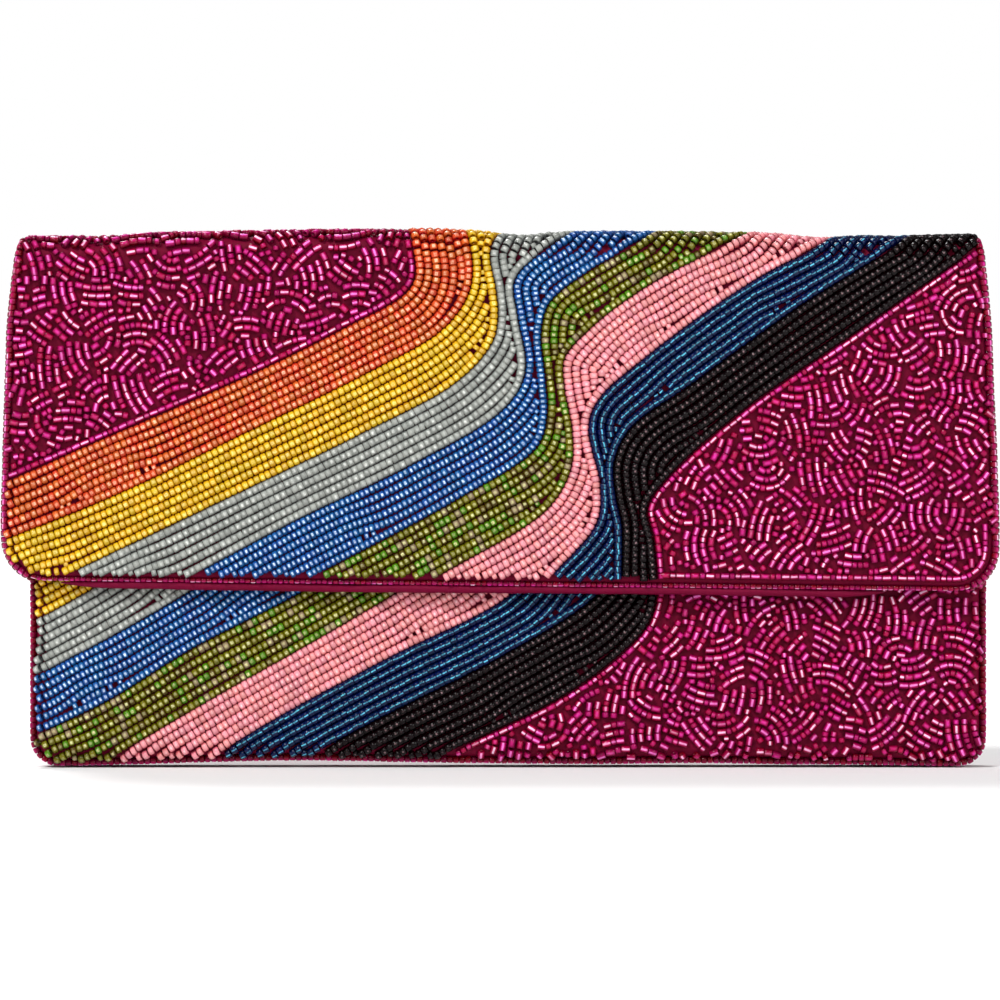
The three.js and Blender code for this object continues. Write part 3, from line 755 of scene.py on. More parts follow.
def bead_object(name, b, looks, rng):
    """One mesh of many glass beads, each a ring of glass with its bore."""
    n, k, m = len(b["P"]), len(ROUND), SIDES
    cut = b["cut"][:, None] > 0.5
    rho = np.where(cut, CUT[:, 0], ROUND[:, 0])
    ax = np.where(cut, CUT[:, 1], ROUND[:, 1])
    A = unit(b["A"])
    N = unit(b["N"] - (b["N"] * A).sum(1)[:, None] * A)
    S = np.cross(A, N)
    t = np.arange(m) * 2 * PI / m
    c, s = np.cos(t), np.sin(t)
    ring = c[None, :, None] * N[:, None] + s[None, :, None] * S[:, None]        # n, m, 3
    out = (rho * b["r"][:, None])[:, :, None, None] * ring[:, None]             # n, k, m, 3
    run = (ax * b["L"][:, None] / 2)[:, :, None, None] * A[:, None, None]
    verts = (b["P"][:, None, None] + out + run).reshape(-1, 3)
    local = np.stack(np.broadcast_arrays(ax[:, :, None], rho[:, :, None] * s,
                                         rho[:, :, None] * c), 3)
    i, j = np.meshgrid(np.arange(k), np.arange(m), indexing="ij")
    i2, j2 = (i + 1) % k, (j + 1) % m
    quad = np.stack([i * m + j, i2 * m + j, i2 * m + j2, i * m + j2], 2).reshape(-1, 4)
    faces = (np.arange(n)[:, None, None] * k * m + quad[:, ::-1]).reshape(-1, 4)
    used = sorted(set(b["look"].tolist()))
    slot = np.searchsorted(used, b["look"])
    ob = new_object(name, verts, [faces], [looks[u] for u in used], np.repeat(slot, k * m))
    vector_attribute(ob, "bead", local.reshape(-1, 3))
    rnd = rng.uniform(0, 1, (n, 3))
    # cut magenta beads catch the light more often than round ones
    lit = 0.7 * rnd[:, 0] + np.where(cut[:, 0], 0.3, 0.0)
    rnd[:, 0] = np.where(b["look"] == 0, lit, rnd[:, 0])
    vector_attribute(ob, "rnd", np.repeat(rnd, k * m, axis=0))
    # Each bead has its own cell of the OFBake map.
    cells = int(math.ceil(math.sqrt(n)))
    cell = np.stack([np.arange(n) % cells, np.arange(n) // cells], 1) / cells
    u = np.stack([j, j, j + 1, j + 1], 2).reshape(-1, 4) / m
    w = np.stack([i, i + 1, i + 1, i], 2).reshape(-1, 4) / k
    inner = np.stack([u, w], 2)[:, ::-1] * 0.9 + 0.05
    uv = cell[:, None, None] + inner[None] / cells
    ob.data.uv_layers.new(name="OFBake").data.foreach_set("uv", uv.astype(np.float32).ravel())
    return ob


def grid_faces(rows, cols, closed=False):
    """The faces of a grid of points. A closed grid joins its last column to its first."""
    across = np.arange(cols if closed else cols - 1)
    i, j = np.meshgrid(np.arange(rows - 1), across, indexing="ij")
    j2 = (j + 1) % cols
    ring = [i * cols + j, i * cols + j2, (i + 1) * cols + j2, (i + 1) * cols + j]
    return np.stack(ring, 2).reshape(-1, 4)


def thick_sheet(name, outer, inner, faces, material, plan):
    """A closed thin body between two copies of a surface. plan is the cloth's own flat
    coordinates, which its weave follows."""
    n = len(outer)
    edges = np.concatenate([np.stack([faces[:, k], faces[:, (k + 1) % 4]], 1) for k in range(4)])
    key = edges.min(1).astype(np.int64) * n + edges.max(1)
    _, first, count = np.unique(key, return_index=True, return_counts=True)
    border = edges[first[count == 1]]
    wall = np.stack([border[:, 1], border[:, 0], border[:, 0] + n, border[:, 1] + n], 1)
    ob = new_object(name, np.concatenate([outer, inner]), [faces, faces[:, ::-1] + n, wall],
                    [material])
    plan = np.column_stack([plan, np.zeros(n)])
    vector_attribute(ob, "cloth", np.concatenate([plan, plan]) * MM)
    return ob


def panel_sheet(name, panel, v_rows, left, right, low, corner, roll_to, material, hem=0.0):
    """A panel's cloth with rolled edges. Rows run across; the outline's lower corners are
    round. roll_to() gives how far round the edge rolls, and hem how far the cloth runs on."""
    cols = 90
    plan = []
    for v in v_rows:
        up = abs(v - v_rows[0])
        short = corner - math.sqrt(max(corner**2 - (corner - up) ** 2, 0)) if up < corner else 0.0
        xs = np.linspace(left(v) + short, right(v) - short, cols)
        fade = max(0.0, 1 - up / 60)
        plan.append(np.stack([xs, v + low(xs) * fade], 1))
    rows = len(plan)
    plan = np.concatenate(plan)
    P, _, _, N = panel.bend(plan, np.tile([[1.0, 0.0]], (len(plan), 1)), np.zeros(len(plan)), 0.0)
    faces = grid_faces(rows, cols)
    # the open outline: down the left side, along the low edge, up the right side
    idx = np.concatenate([np.arange(rows - 1, 0, -1) * cols, np.arange(cols),
                          np.arange(1, rows) * cols + cols - 1])
    line = plan[idx]
    out = -left_of(line)
    if (out[0, 0] > 0) == (line[0, 0] < line[-1, 0]):
        out = -out
    turns = np.linspace(0, 1, 9)[1:]
    outer, inner, pieces, plans = [P], [P - CLOTH_T * N], [faces], [plan]
    prev, base = idx, len(plan)
    R = panel.roll(line[:, 1])
    for t in list(turns) + ([1.0001] if hem else []):
        extra = hem if t > 1 else 0.0
        dist = np.minimum(t, 1) * roll_to(line[:, 1]) * R + extra
        Q, _, _, M = panel.bend(line, out, dist, 0.0)
        outer.append(Q)
        inner.append(Q - CLOTH_T * M)
        plans.append(line + out * dist[:, None])
        now = base + np.arange(len(idx))
        pieces.append(np.stack([prev[:-1], now[:-1], now[1:], prev[1:]], 1))
        prev, base = now, base + len(idx)
    outer, inner, pieces, plans = map(np.concatenate, (outer, inner, pieces, plans))
    return thick_sheet(name, outer, inner, pieces, material, plans)


def lathe(name, profile, centre, material):
    """A turned piece about an axis along y, from (radius, y) points of a closed section."""
    steps = 72
    p = np.array(profile, float)
    k = len(p)
    t = np.arange(steps) * 2 * PI / steps
    verts = np.stack([centre[0] + p[:, 0, None] * np.cos(t),
                      np.broadcast_to(p[:, 1, None], (k, steps)),
                      centre[1] + p[:, 0, None] * np.sin(t)], 2)
    i, j = np.meshgrid(np.arange(k), np.arange(steps), indexing="ij")
    i2, j2 = (i + 1) % k, (j + 1) % steps
    faces = np.stack([i * steps + j, i2 * steps + j, i2 * steps + j2, i * steps + j2], 2)
    return new_object(name, verts.reshape(-1, 3), [faces.reshape(-1, 4)], [material])


def rounded_section(points, radius):
    """A closed section with its corners rounded."""
    p = np.array(points, float)
    out = []
    for i in range(len(p)):
        a, b, c = p[i - 1], p[i], p[(i + 1) % len(p)]
        r = min(radius, np.linalg.norm(a - b) * 0.45, np.linalg.norm(c - b) * 0.45)
        start, end = b + unit(a - b) * r, b + unit(c - b) * r
        for t in np.linspace(0, 1, 5):
            out.append((1 - t) ** 2 * start + 2 * t * (1 - t) * b + t * t * end)
    return np.array(out)


def slab_sheet(name, outline, y0, y1, material):
    """A flat board with softly rounded edges, from its outline (x, z)."""
    edge = 0.2
    line = np.array(outline, float)
    d = unit(np.roll(line, -1, 0) - np.roll(line, 1, 0))
    out = -rotate_left(d)
    area = 0.5 * (line[:, 0] * np.roll(line[:, 1], -1) - line[:, 1] * np.roll(line[:, 0], -1)).sum()
    if area < 0:
        out = -out
    rings = []
    mid, half = (y0 + y1) / 2, (y1 - y0) / 2
    for a in np.linspace(-PI / 2, PI / 2, 7):
        x = line - out * edge * (1 - math.cos(a))
        y = mid + half * math.sin(a)
        rings.append(np.stack([x[:, 0], np.full(len(x), y), x[:, 1]], 1))
    n, k = len(line), len(rings)
    verts = np.concatenate(rings)
    faces = grid_faces(k, n, closed=True)
    caps = [np.arange(n)[None], (np.arange(n) + (k - 1) * n)[None, ::-1]]
    if area > 0:
        faces, caps = faces[:, ::-1], [c[:, ::-1] for c in caps]
    return new_object(name, verts, [faces] + caps, [material], smooth=False)


def stitches(name, line, normals, length, gap, width):
    """A line of hand-sewn running stitches along a line in space."""
    s = run_lengths(line)
    starts = np.arange(0.4, s[-1] - length, length + gap)
    verts, faces = [], []
    m, k = 6, 7
    for q, start in enumerate(starts):
        t = np.linspace(0, 1, k)
        at = start + t * length
        c, n = read_off(line, s, at), unit(read_off(normals, s, at))
        d = unit(np.gradient(c, axis=0))
        b = np.cross(d, n)
        lift = (np.sin(PI * t) ** 0.5) * width * 0.9 - width * 0.5
        fat = np.maximum(np.sin(PI * t) ** 0.35, 0.25) * width
        for i in range(k):
            for j in range(m):
                a = 2 * PI * j / m
                up = lift[i] + fat[i] * math.sin(a) * 0.8
                verts.append(c[i] + n[i] * up + b[i] * fat[i] * math.cos(a))
        faces.append(grid_faces(k, m, closed=True) + q * k * m)
    ob = new_object(name, np.array(verts), [np.concatenate(faces)], [THREAD])
    vector_attribute(ob, "cloth", np.array(verts) * MM)
    return ob


# ---- Materials ----

class Look:
    """A node material, written as small expressions."""

    def __init__(self, name):
        self.mat = bpy.data.materials.new(name)
        self.mat.use_nodes = True
        self.tree = self.mat.node_tree
        self.shader = self.tree.nodes["Principled BSDF"]

    def node(self, kind, **values):
        n = self.tree.nodes.new(kind)
        for key, value in values.items():
            setattr(n, key, value)
        return n

    def put(self, socket, value):
        if isinstance(value, bpy.types.NodeSocket):
            self.tree.links.new(value, socket)
        elif isinstance(value, (tuple, list)) and len(value) == 3 and socket.type == "RGBA":
            socket.default_value = (*value, 1)
        else:
            socket.default_value = value

    def set(self, **values):
        for key, value in values.items():
            self.put(self.shader.inputs[key.replace("_", " ")], value)

    def attribute(self, name):
        n = self.node("ShaderNodeAttribute", attribute_name=name)
        return n.outputs["Vector"]

    def split(self, vector):
        n = self.node("ShaderNodeSeparateXYZ")
        self.put(n.inputs[0], vector)
        return n.outputs[0], n.outputs[1], n.outputs[2]

    def math(self, op, a, b=0.0, clamp=False):
        n = self.node("ShaderNodeMath", operation=op, use_clamp=clamp)
        self.put(n.inputs[0], a)
        self.put(n.inputs[1], b)
        return n.outputs[0]

    def times(self, a, b, clamp=False):
        return self.math("MULTIPLY", a, b, clamp)

    def span(self, value, a, b, c=0.0, d=1.0):
        """Runs smoothly from c to d while the value runs from a to b."""
        n = self.node("ShaderNodeMapRange", interpolation_type="SMOOTHSTEP")
        for i, x in enumerate((value, a, b, c, d)):
            self.put(n.inputs[i], x)
        return n.outputs[0]

    def position(self):
        return self.node("ShaderNodeNewGeometry").outputs["Position"]

    def varied(self, colour, value, hue):
        n = self.node("ShaderNodeHueSaturation")
        for name, x in (("Value", value), ("Hue", hue), ("Color", colour)):
            self.put(n.inputs[name], x)
        return n.outputs[0]

    def mix(self, factor, a, b):
        n = self.node("ShaderNodeMix", data_type="RGBA")
        self.put(n.inputs[0], factor)
        self.put(n.inputs[6], a)
        self.put(n.inputs[7], b)
        return n.outputs[2]

    def noise(self, vector, scale, detail=3.0, rough=0.55):
        n = self.node("ShaderNodeTexNoise")
        facts = {"Vector": vector, "Scale": scale, "Detail": detail, "Roughness": rough}
        for name, x in facts.items():
            self.put(n.inputs[name], x)
        return n.outputs["Fac"]

    def wave(self, value, period):
        """0 to 1 and back once per period."""
        return self.span(self.math("SINE", self.times(value, 2 * PI / period)), -1, 1)

    def bump(self, height, distance, strength=1.0):
        n = self.node("ShaderNodeBump")
        for name, x in (("Strength", strength), ("Distance", distance), ("Height", height)):
            self.put(n.inputs[name], x)
        self.put(self.shader.inputs["Normal"], n.outputs[0])


def linear(r, g, b):
    """A screen colour from 0 to 255, as light."""
    f = lambda c: c / 12.92 if c <= 0.04045 else ((c + 0.055) / 1.055) ** 2.4
    return tuple(f(c / 255) for c in (r, g, b))


def bead_look(name, rim, body, core_highlight, width, length, bright, rough=0.16, odd=(), opaque=False,
              soft=0.22):
    """Glass with a silver-lined bore, or opaque glass. Each bead runs from its rim colour on the
    flanks to its body colour on the lit top, which is painted shade.
    Each bead also carries a painted highlight along its top: in lined glass the reflection of the
    lining, in opaque glass a small soft glint.
    bright gives how strong the dullest and the brightest painted highlight is, and odd gives shares
    of beads that have another body colour."""
    m = Look(name)
    along, across, up = m.split(m.attribute("bead"))
    r1, r2, r3 = m.split(m.attribute("rnd"))
    # Painted shade: each bead runs from the rim colour on its flanks and underside to the body colour
    # on its lit top. The odd colours below get the same painted shade.
    base = m.mix(m.span(up, 0.05, 0.95), linear(*rim), linear(*body))
    share = 0.0
    for part, colour in odd:
        share += part
        tinted = m.mix(m.span(up, 0.05, 0.95), linear(*rim), linear(*colour))
        below, above = m.math("LESS_THAN", r2, share), m.math("GREATER_THAN", r2, share - part)
        base = m.mix(m.times(below, above), base, tinted)
    # Painted highlight: a bright patch along the top of each bead. In lined glass it is the lining's
    # reflection, in opaque glass a plain glint. Fine noise breaks it up, and it is stronger in some
    # beads than in others.
    near = m.math("ABSOLUTE", m.math("ADD", across, m.span(r3, 0, 1, -0.14, 0.14)))
    far = m.math("ABSOLUTE", m.math("ADD", along, m.span(r2, 0, 1, -0.12, 0.12)))
    beside, beyond = m.span(near, width, width + soft, 1, 0), m.span(far, length, length + soft, 1, 0)
    mask = m.times(m.times(beside, beyond), m.span(up, 0.1, 0.4))
    position = m.position()
    highlight_and_gloss_noise = m.noise(position, 2300, 2)
    lit = m.times(m.span(r1, 0, 1, *bright), m.span(highlight_and_gloss_noise, 0.36, 0.58, 0.35, 1.0))
    base = m.mix(m.times(mask, lit, clamp=True), base, linear(*core_highlight))
    base = m.varied(base, m.span(r3, 0, 1, 0.8, 1.12), m.span(r2, 0, 1, 0.492, 0.508))
    m.set(Base_Color=base, Roughness=m.span(highlight_and_gloss_noise, 0.3, 0.7, rough * 0.7, rough * 1.5),
          Specular_IOR_Level=0.35 if opaque else 0.2, Coat_Weight=0.0 if opaque else 0.12,
          Coat_Roughness=0.05)
    m.bump(m.noise(position, 1500, 2), 0.00012, 0.35)
    return m.mat


def magenta_look():
    """Magenta glass: a soft blob of light in every bead, and a sharp bright bar in those that
    catch the light."""
    m = Look("magenta_glass")
    along, across, up = m.split(m.attribute("bead"))
    r1, r2, r3 = m.split(m.attribute("rnd"))
    # Painted shade: dark magenta on each bead's flanks and underside, lighter magenta on its lit top.
    base = m.mix(m.span(up, 0.1, 1.0), linear(98, 0, 30), linear(150, 2, 70))
    near, far = m.math("ABSOLUTE", across), m.math("ABSOLUTE", along)
    top = m.span(up, 0.1, 0.4)
    position = m.position()
    highlight_and_gloss_noise = m.noise(position, 2200, 2)
    # Painted highlight: a soft pink blob on the top of each bead, stronger in the beads that catch
    # the light.
    blob = m.times(m.span(near, 0.12, 0.62, 1, 0), m.span(far, 0.3, 0.85, 1, 0))
    blob = m.times(blob, m.span(r1, 0.05, 0.45, 0.25, 1.0))
    blob_highlight = m.mix(r3, linear(194, 22, 100), linear(210, 46, 146))
    base = m.mix(m.times(blob, top), base, blob_highlight)
    # Painted highlight: a sharp bright bar along the top, the reflection of the silver lining, in the
    # beads that catch the light most.
    bar = m.times(m.span(near, 0.2, 0.32, 1, 0), m.span(far, 0.8, 0.92, 1, 0))
    bar = m.times(bar, m.span(r1, 0.42, 0.6))
    bar = m.times(bar, m.span(highlight_and_gloss_noise, 0.25, 0.55, 0.6, 1.0))
    core_highlight = m.mix(m.span(r2, 0.35, 1.0), linear(236, 116, 194), linear(248, 200, 232))
    base = m.mix(m.times(bar, top, clamp=True), base, core_highlight)
    base = m.varied(base, m.span(r3, 0, 1, 0.82, 1.12), m.span(r2, 0, 1, 0.49, 0.512))
    m.set(Base_Color=base, Roughness=m.span(highlight_and_gloss_noise, 0.3, 0.7, 0.1, 0.24),
          Specular_IOR_Level=0.14, Coat_Weight=0.08, Coat_Roughness=0.05)
    m.bump(m.noise(position, 1400, 2), 0.00012, 0.4)
    return m.mat


def cloth_look(name, dark, light, thread, sheen, rough, twill=False):
    """Woven cloth: warp and weft in its own flat coordinates, with slubs and soft variation."""
    m = Look(name)
    plan = m.attribute("cloth")
    x, v, w = m.split(plan)
    weft = m.wave(m.math("ADD", v, m.times(x, 0.5) if twill else w), thread)
    warp = m.wave(x, thread)
    stretch = m.node("ShaderNodeMapping")
    m.put(stretch.inputs["Vector"], plan)
    stretch.inputs["Scale"].default_value = (1, 0.12, 1)
    slubs = m.noise(stretch.outputs[0], 1400, 3)
    broad = m.noise(plan, 60, 4)
    weave = m.math("ADD", m.times(warp, 0.6), m.times(weft, 0.4))
    tone = m.math("ADD", m.times(weave, 0.35), m.times(slubs, 0.65))
    tone = m.math("ADD", tone, m.times(m.math("SUBTRACT", broad, 0.5), 0.5), clamp=True)
    dull = m.math("ADD", slubs, m.times(broad, 0.5))
    m.set(Base_Color=m.mix(tone, linear(*dark), linear(*light)),
          Roughness=m.span(dull, 0.4, 1.0, rough * 0.85, rough * 1.2), Specular_IOR_Level=0.09,
          Sheen_Weight=sheen, Sheen_Roughness=0.35, Sheen_Tint=linear(*light))
    m.bump(m.math("ADD", weave, m.times(slubs, 0.8)), 0.00008, 0.6)
    return m.mat


def board_look():
    """Grey board: pressed fibres with dark specks."""
    m = Look("grey_board")
    position = m.position()
    fibres = m.noise(position, 900, 6, 0.7)
    specks = m.noise(position, 3200, 2)
    tone = m.mix(m.span(fibres, 0.35, 0.68), linear(138, 126, 108), linear(186, 176, 158))
    tone = m.mix(m.span(specks, 0.66, 0.72), tone, linear(92, 82, 70))
    m.set(Base_Color=tone, Roughness=m.span(fibres, 0.3, 0.7, 0.8, 0.95))
    m.bump(fibres, 0.0002, 0.5)
    return m.mat


def metal_look(name, dark, light, rough, worn):
    """Plated metal, turned: fine rings, a little wear and tarnish in patches."""
    m = Look(name)
    position = m.position()
    x, _, z = m.split(position)
    dz = m.math("SUBTRACT", z, SNAP_Z * MM)
    radius = m.math("SQRT", m.math("ADD", m.times(x, x), m.times(dz, dz)))
    rings = m.wave(radius, 0.00021)
    patches = m.noise(position, 260, 4, 0.5)
    tone = m.mix(m.span(patches, 0.3, worn), linear(*dark), linear(*light))
    dull = m.math("ADD", patches, m.times(rings, 0.3))
    m.set(Base_Color=tone, Roughness=m.span(dull, 0.3, 1.0, rough, rough * 2.2), Metallic=1.0)
    m.bump(m.math("ADD", rings, m.times(patches, 0.1)), 0.00001, 0.3)
    return m.mat


# Each bead colour gives its rim colour (painted shade on the flanks), its body colour on the lit top
# and its painted highlight colour. Then come the highlight's half width and half length, as shares of
# the bead, and its dullest and brightest strength.
LOOK_OF = {
    "magenta": magenta_look(),
    "orange": bead_look("orange_glass", (166, 26, 4), (198, 80, 34), (246, 190, 154), 0.26, 0.44,
                        (0.4, 1.0)),
    "yellow": bead_look("yellow_glass", (168, 106, 0), (210, 164, 22), (240, 220, 128), 0.26, 0.5,
                        (0.45, 1.0)),
    "grey": bead_look("grey_glass", (76, 78, 78), (146, 149, 143), (220, 222, 216), 0.26, 0.3,
                      (0.1, 0.85), 0.22, opaque=True),
    "blue": bead_look("blue_glass", (6, 42, 96), (28, 82, 146), (212, 232, 255), 0.27, 0.3,
                      (0.55, 1.0)),
    "green": bead_look("green_glass", (56, 50, 0), (102, 96, 8), (214, 212, 148), 0.24, 0.38,
                       (0.3, 1.0), odd=((0.18, (66, 120, 12)), (0.1, (136, 118, 88)),
                                        (0.12, (78, 62, 14)))),
    "pink": bead_look("pink_glass", (184, 76, 88), (228, 144, 150), (252, 214, 214), 0.2, 0.24,
                      (0.1, 0.8), 0.2, opaque=True),
    "teal": bead_look("teal_glass", (0, 8, 46), (0, 18, 62), (92, 196, 230), 0.08, 0.78,
                      (0.4, 1.0), soft=0.12),
    "black": bead_look("black_glass", (6, 0, 0), (9, 1, 3), (138, 110, 114), 0.1, 0.18,
                       (0.0, 1.0)),
}
black_shader = LOOK_OF["black"].node_tree.nodes["Principled BSDF"]
black_shader.inputs["Specular IOR Level"].default_value = 0.1
BEAD_MATERIALS = [LOOK_OF[c] for c in LOOKS]
SATIN = cloth_look("magenta_satin", (84, 0, 24), (128, 0, 50), 0.00030, 0.0, 0.5)
SATIN_ROLL = cloth_look("magenta_satin_roll", (88, 0, 30), (128, 2, 54), 0.00030, 0.02, 0.4)
LINING = cloth_look("berry_lining", (60, 6, 34), (112, 18, 66), 0.00036, 0.06, 0.55, twill=True)
THREAD = cloth_look("sewing_thread", (104, 4, 44), (168, 24, 84), 0.00012, 0.08, 0.5)
BOARD = board_look()
NICKEL = metal_look("nickel_plate", (176, 172, 164), (222, 218, 210), 0.2, 0.7)
MAGNET = metal_look("magnet_iron", (46, 46, 50), (92, 92, 98), 0.32, 0.7)


# ---- Bodies ----


def bends_front(ob):
    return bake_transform(ob)


def bends_back(ob):
    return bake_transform(ob)


def named(ob, slot, held_by, *nodes):
    """Hides the parts that a piece replaces, and hangs the piece on its body, or hands it to held_by
    where that is a function (bends_front and bends_back only bake its transform into its mesh). slot
    is not used.
    """
    if nodes:
        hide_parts(*nodes)
    if callable(held_by):
        held_by(ob)
    else:
        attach(ob, held_by)
    return ob


# ---- The beading ----

def bead_piece(name, beads, colour, held_by, rng, *nodes):
    named(bead_object(name, beads, BEAD_MATERIALS, rng), colour + "_beads", held_by, *nodes)


def edge_piece(name, lines, held_by, rng):
    bead_piece(name, joined(lines), "magenta", held_by, rng, name)


def cover_beading(rng):
    rows = laid_cover()
    beads = bent(COVER, rows, rng)
    x, v, look = rows[:, 0], rows[:, 1], rows[:, 7]
    front_half = v < V_MID
    for i, colour in enumerate(STRIPES):
        name = "flap_beads_" + colour
        mine = picked(beads, front_half & (look == i + 1))
        bead_piece(name, mine, colour, bends_front, rng, name)
    for side, mine in (("left", x < -10), ("right", x >= -10)):
        where = np.where(front_half & (look == 0) & mine)[0]
        where = where[np.argsort(x[where])]
        name = "flap_beads_magenta_" + side
        bead_piece(name, picked(beads, where), "magenta", bends_front, rng, name)
    strip = picked(beads, ~front_half & (v < V4))
    bead_piece("strip_beads_back_half", strip, "magenta", bends_back, rng, "strip_beads")
    where = np.where(~front_half & (v >= V4))[0]
    where = where[np.argsort(v[where])]
    for k, part in enumerate(np.array_split(where, math.ceil(len(where) / BEADS_PER_PIECE))):
        nodes = ["back_beads"] if k == 0 else []
        bead_piece("back_beads_%d" % (k + 1), picked(beads, part), "magenta", bends_back, rng,
                   *nodes)


def make_beads():
    rng = np.random.default_rng(23)

    def lines(panel, spans, degrees):
        return [edge_beads(panel, spans, math.radians(a), rng) for a in degrees]

    cover_beading(rng)
    # Edge lines: two round the flap's sides and corners, a fine one along its lower edge.
    low = lambda p: (p[:, 1] < 56) & (np.abs(p[:, 0]) < 119)
    flap = lines(COVER, lambda p: ~low(p) & (p[:, 1] < V_MID), (50, 104))
    flap.append(edge_beads(COVER, low, math.radians(56), rng, radius=0.62, length=1.35, h=0.6))
    edge_piece("flap_edge_beads", flap, bends_front, rng)
    strip_end = V4 + 4
    back = lines(COVER, lambda p: (p[:, 1] >= V_MID) & (p[:, 1] < strip_end), (60, 108))
    back += lines(COVER, lambda p: p[:, 1] >= strip_end, (76, 110))
    edge_piece("back_edge_beads", back, bends_back, rng)

    rows = laid_front()
    beads = bent(FRONT, rows, rng)
    for colour in ["magenta"] + STRIPES[1:]:
        name = "front_beads_" + colour
        mine = picked(beads, rows[:, 7] == LOOKS.index(colour))
        bead_piece(name, mine, colour, "body", rng, name)
    front = lines(FRONT, lambda p: p[:, 1] < BEADS_TOP, (76, 110))
    edge_piece("front_edge_beads", front, "body", rng)


# ---- Cloth ----

def make_covers():
    rounding = 1 - np.cos(np.linspace(0, PI / 2, 8))
    low0 = float(flap_low(0))
    rows = np.concatenate([low0 + FLAP_CORNER * rounding,
                           np.linspace(low0 + FLAP_CORNER + 3, V1 - 2, 26),
                           np.linspace(V1, V2, 9), np.linspace(V2 + 1, V_MID, 6)])
    flap = panel_sheet("flap_cover", COVER, rows, cover_left, cover_right,
                       lambda x: flap_low(x) - low0, FLAP_CORNER,
                       lambda v: np.full(np.shape(v), PI), SATIN, hem=1.2)
    named(flap, "satin", bends_front, "flap_fabric", "front_fold_fabric")

    rows = np.concatenate([BACK_LOW_V - BODY_CORNER * rounding,
                           np.linspace(BACK_LOW_V - BODY_CORNER - 3, V4 + 2, 36),
                           np.linspace(V4, V3, 9), np.linspace(V3 - 1, V_MID, 6)])
    back = panel_sheet("back_cover", COVER, rows, cover_left, cover_right, lambda x: x * 0,
                       BODY_CORNER, lambda v: np.interp(v, [V3, V4 + 8], [PI, BODY_TURN]), SATIN)
    named(back, "satin", bends_back, "back_fabric", "back_fold_fabric", "strip_fabric")

    rows = np.concatenate([BODY_LOW + BODY_CORNER * rounding,
                           np.linspace(BODY_LOW + BODY_CORNER + 3, MOUTH_Z, 34)])
    front = panel_sheet("front_cover", FRONT, rows, lambda v: FRONT_LEFT, lambda v: FRONT_RIGHT,
                        lambda x: x * 0, BODY_CORNER,
                        lambda v: np.full(np.shape(v), BODY_TURN), SATIN)
    named(front, "satin", "body", "front_fabric")


def swept(name, path, left, right, material, cols=70, lift=None):
    """A sheet whose section (y, z) runs along path, from left(i) to right(i). lift(x, z) moves
    it up or down along the purse's width."""
    path = np.array(path, float)
    d = unit(np.gradient(path, axis=0))
    n = np.stack([-d[:, 1], d[:, 0]], 1)
    s = run_lengths(path)
    outer, inner, plan = [], [], []
    for i in range(len(path)):
        xs = np.linspace(left(i), right(i), cols)
        ripple = 0.06 * np.sin(xs / 5.3 + s[i] / 9.0) + 0.05 * np.sin(xs / 13.0 - s[i] / 5.0)
        rise = 0.0 if lift is None else lift(xs, path[i, 1])
        for side, store in ((0, outer), (CLOTH_T, inner)):
            y = path[i, 0] + n[i, 0] * (side + ripple)
            z = path[i, 1] + n[i, 1] * (side + ripple) + rise
            store.append(np.stack([xs, y, z], 1))
        plan.append(np.stack([xs, np.full(cols, s[i])], 1))
    return thick_sheet(name, np.concatenate(outer), np.concatenate(inner),
                       grid_faces(len(path), cols)[:, ::-1], material, np.concatenate(plan))


def fold_curve(a, b, c):
    """A soft bend from a to c, with its corner at b."""
    t = np.linspace(0, 1, 10)[:, None]
    return (1 - t) ** 2 * np.array(a) + 2 * t * (1 - t) * np.array(b) + t**2 * np.array(c)


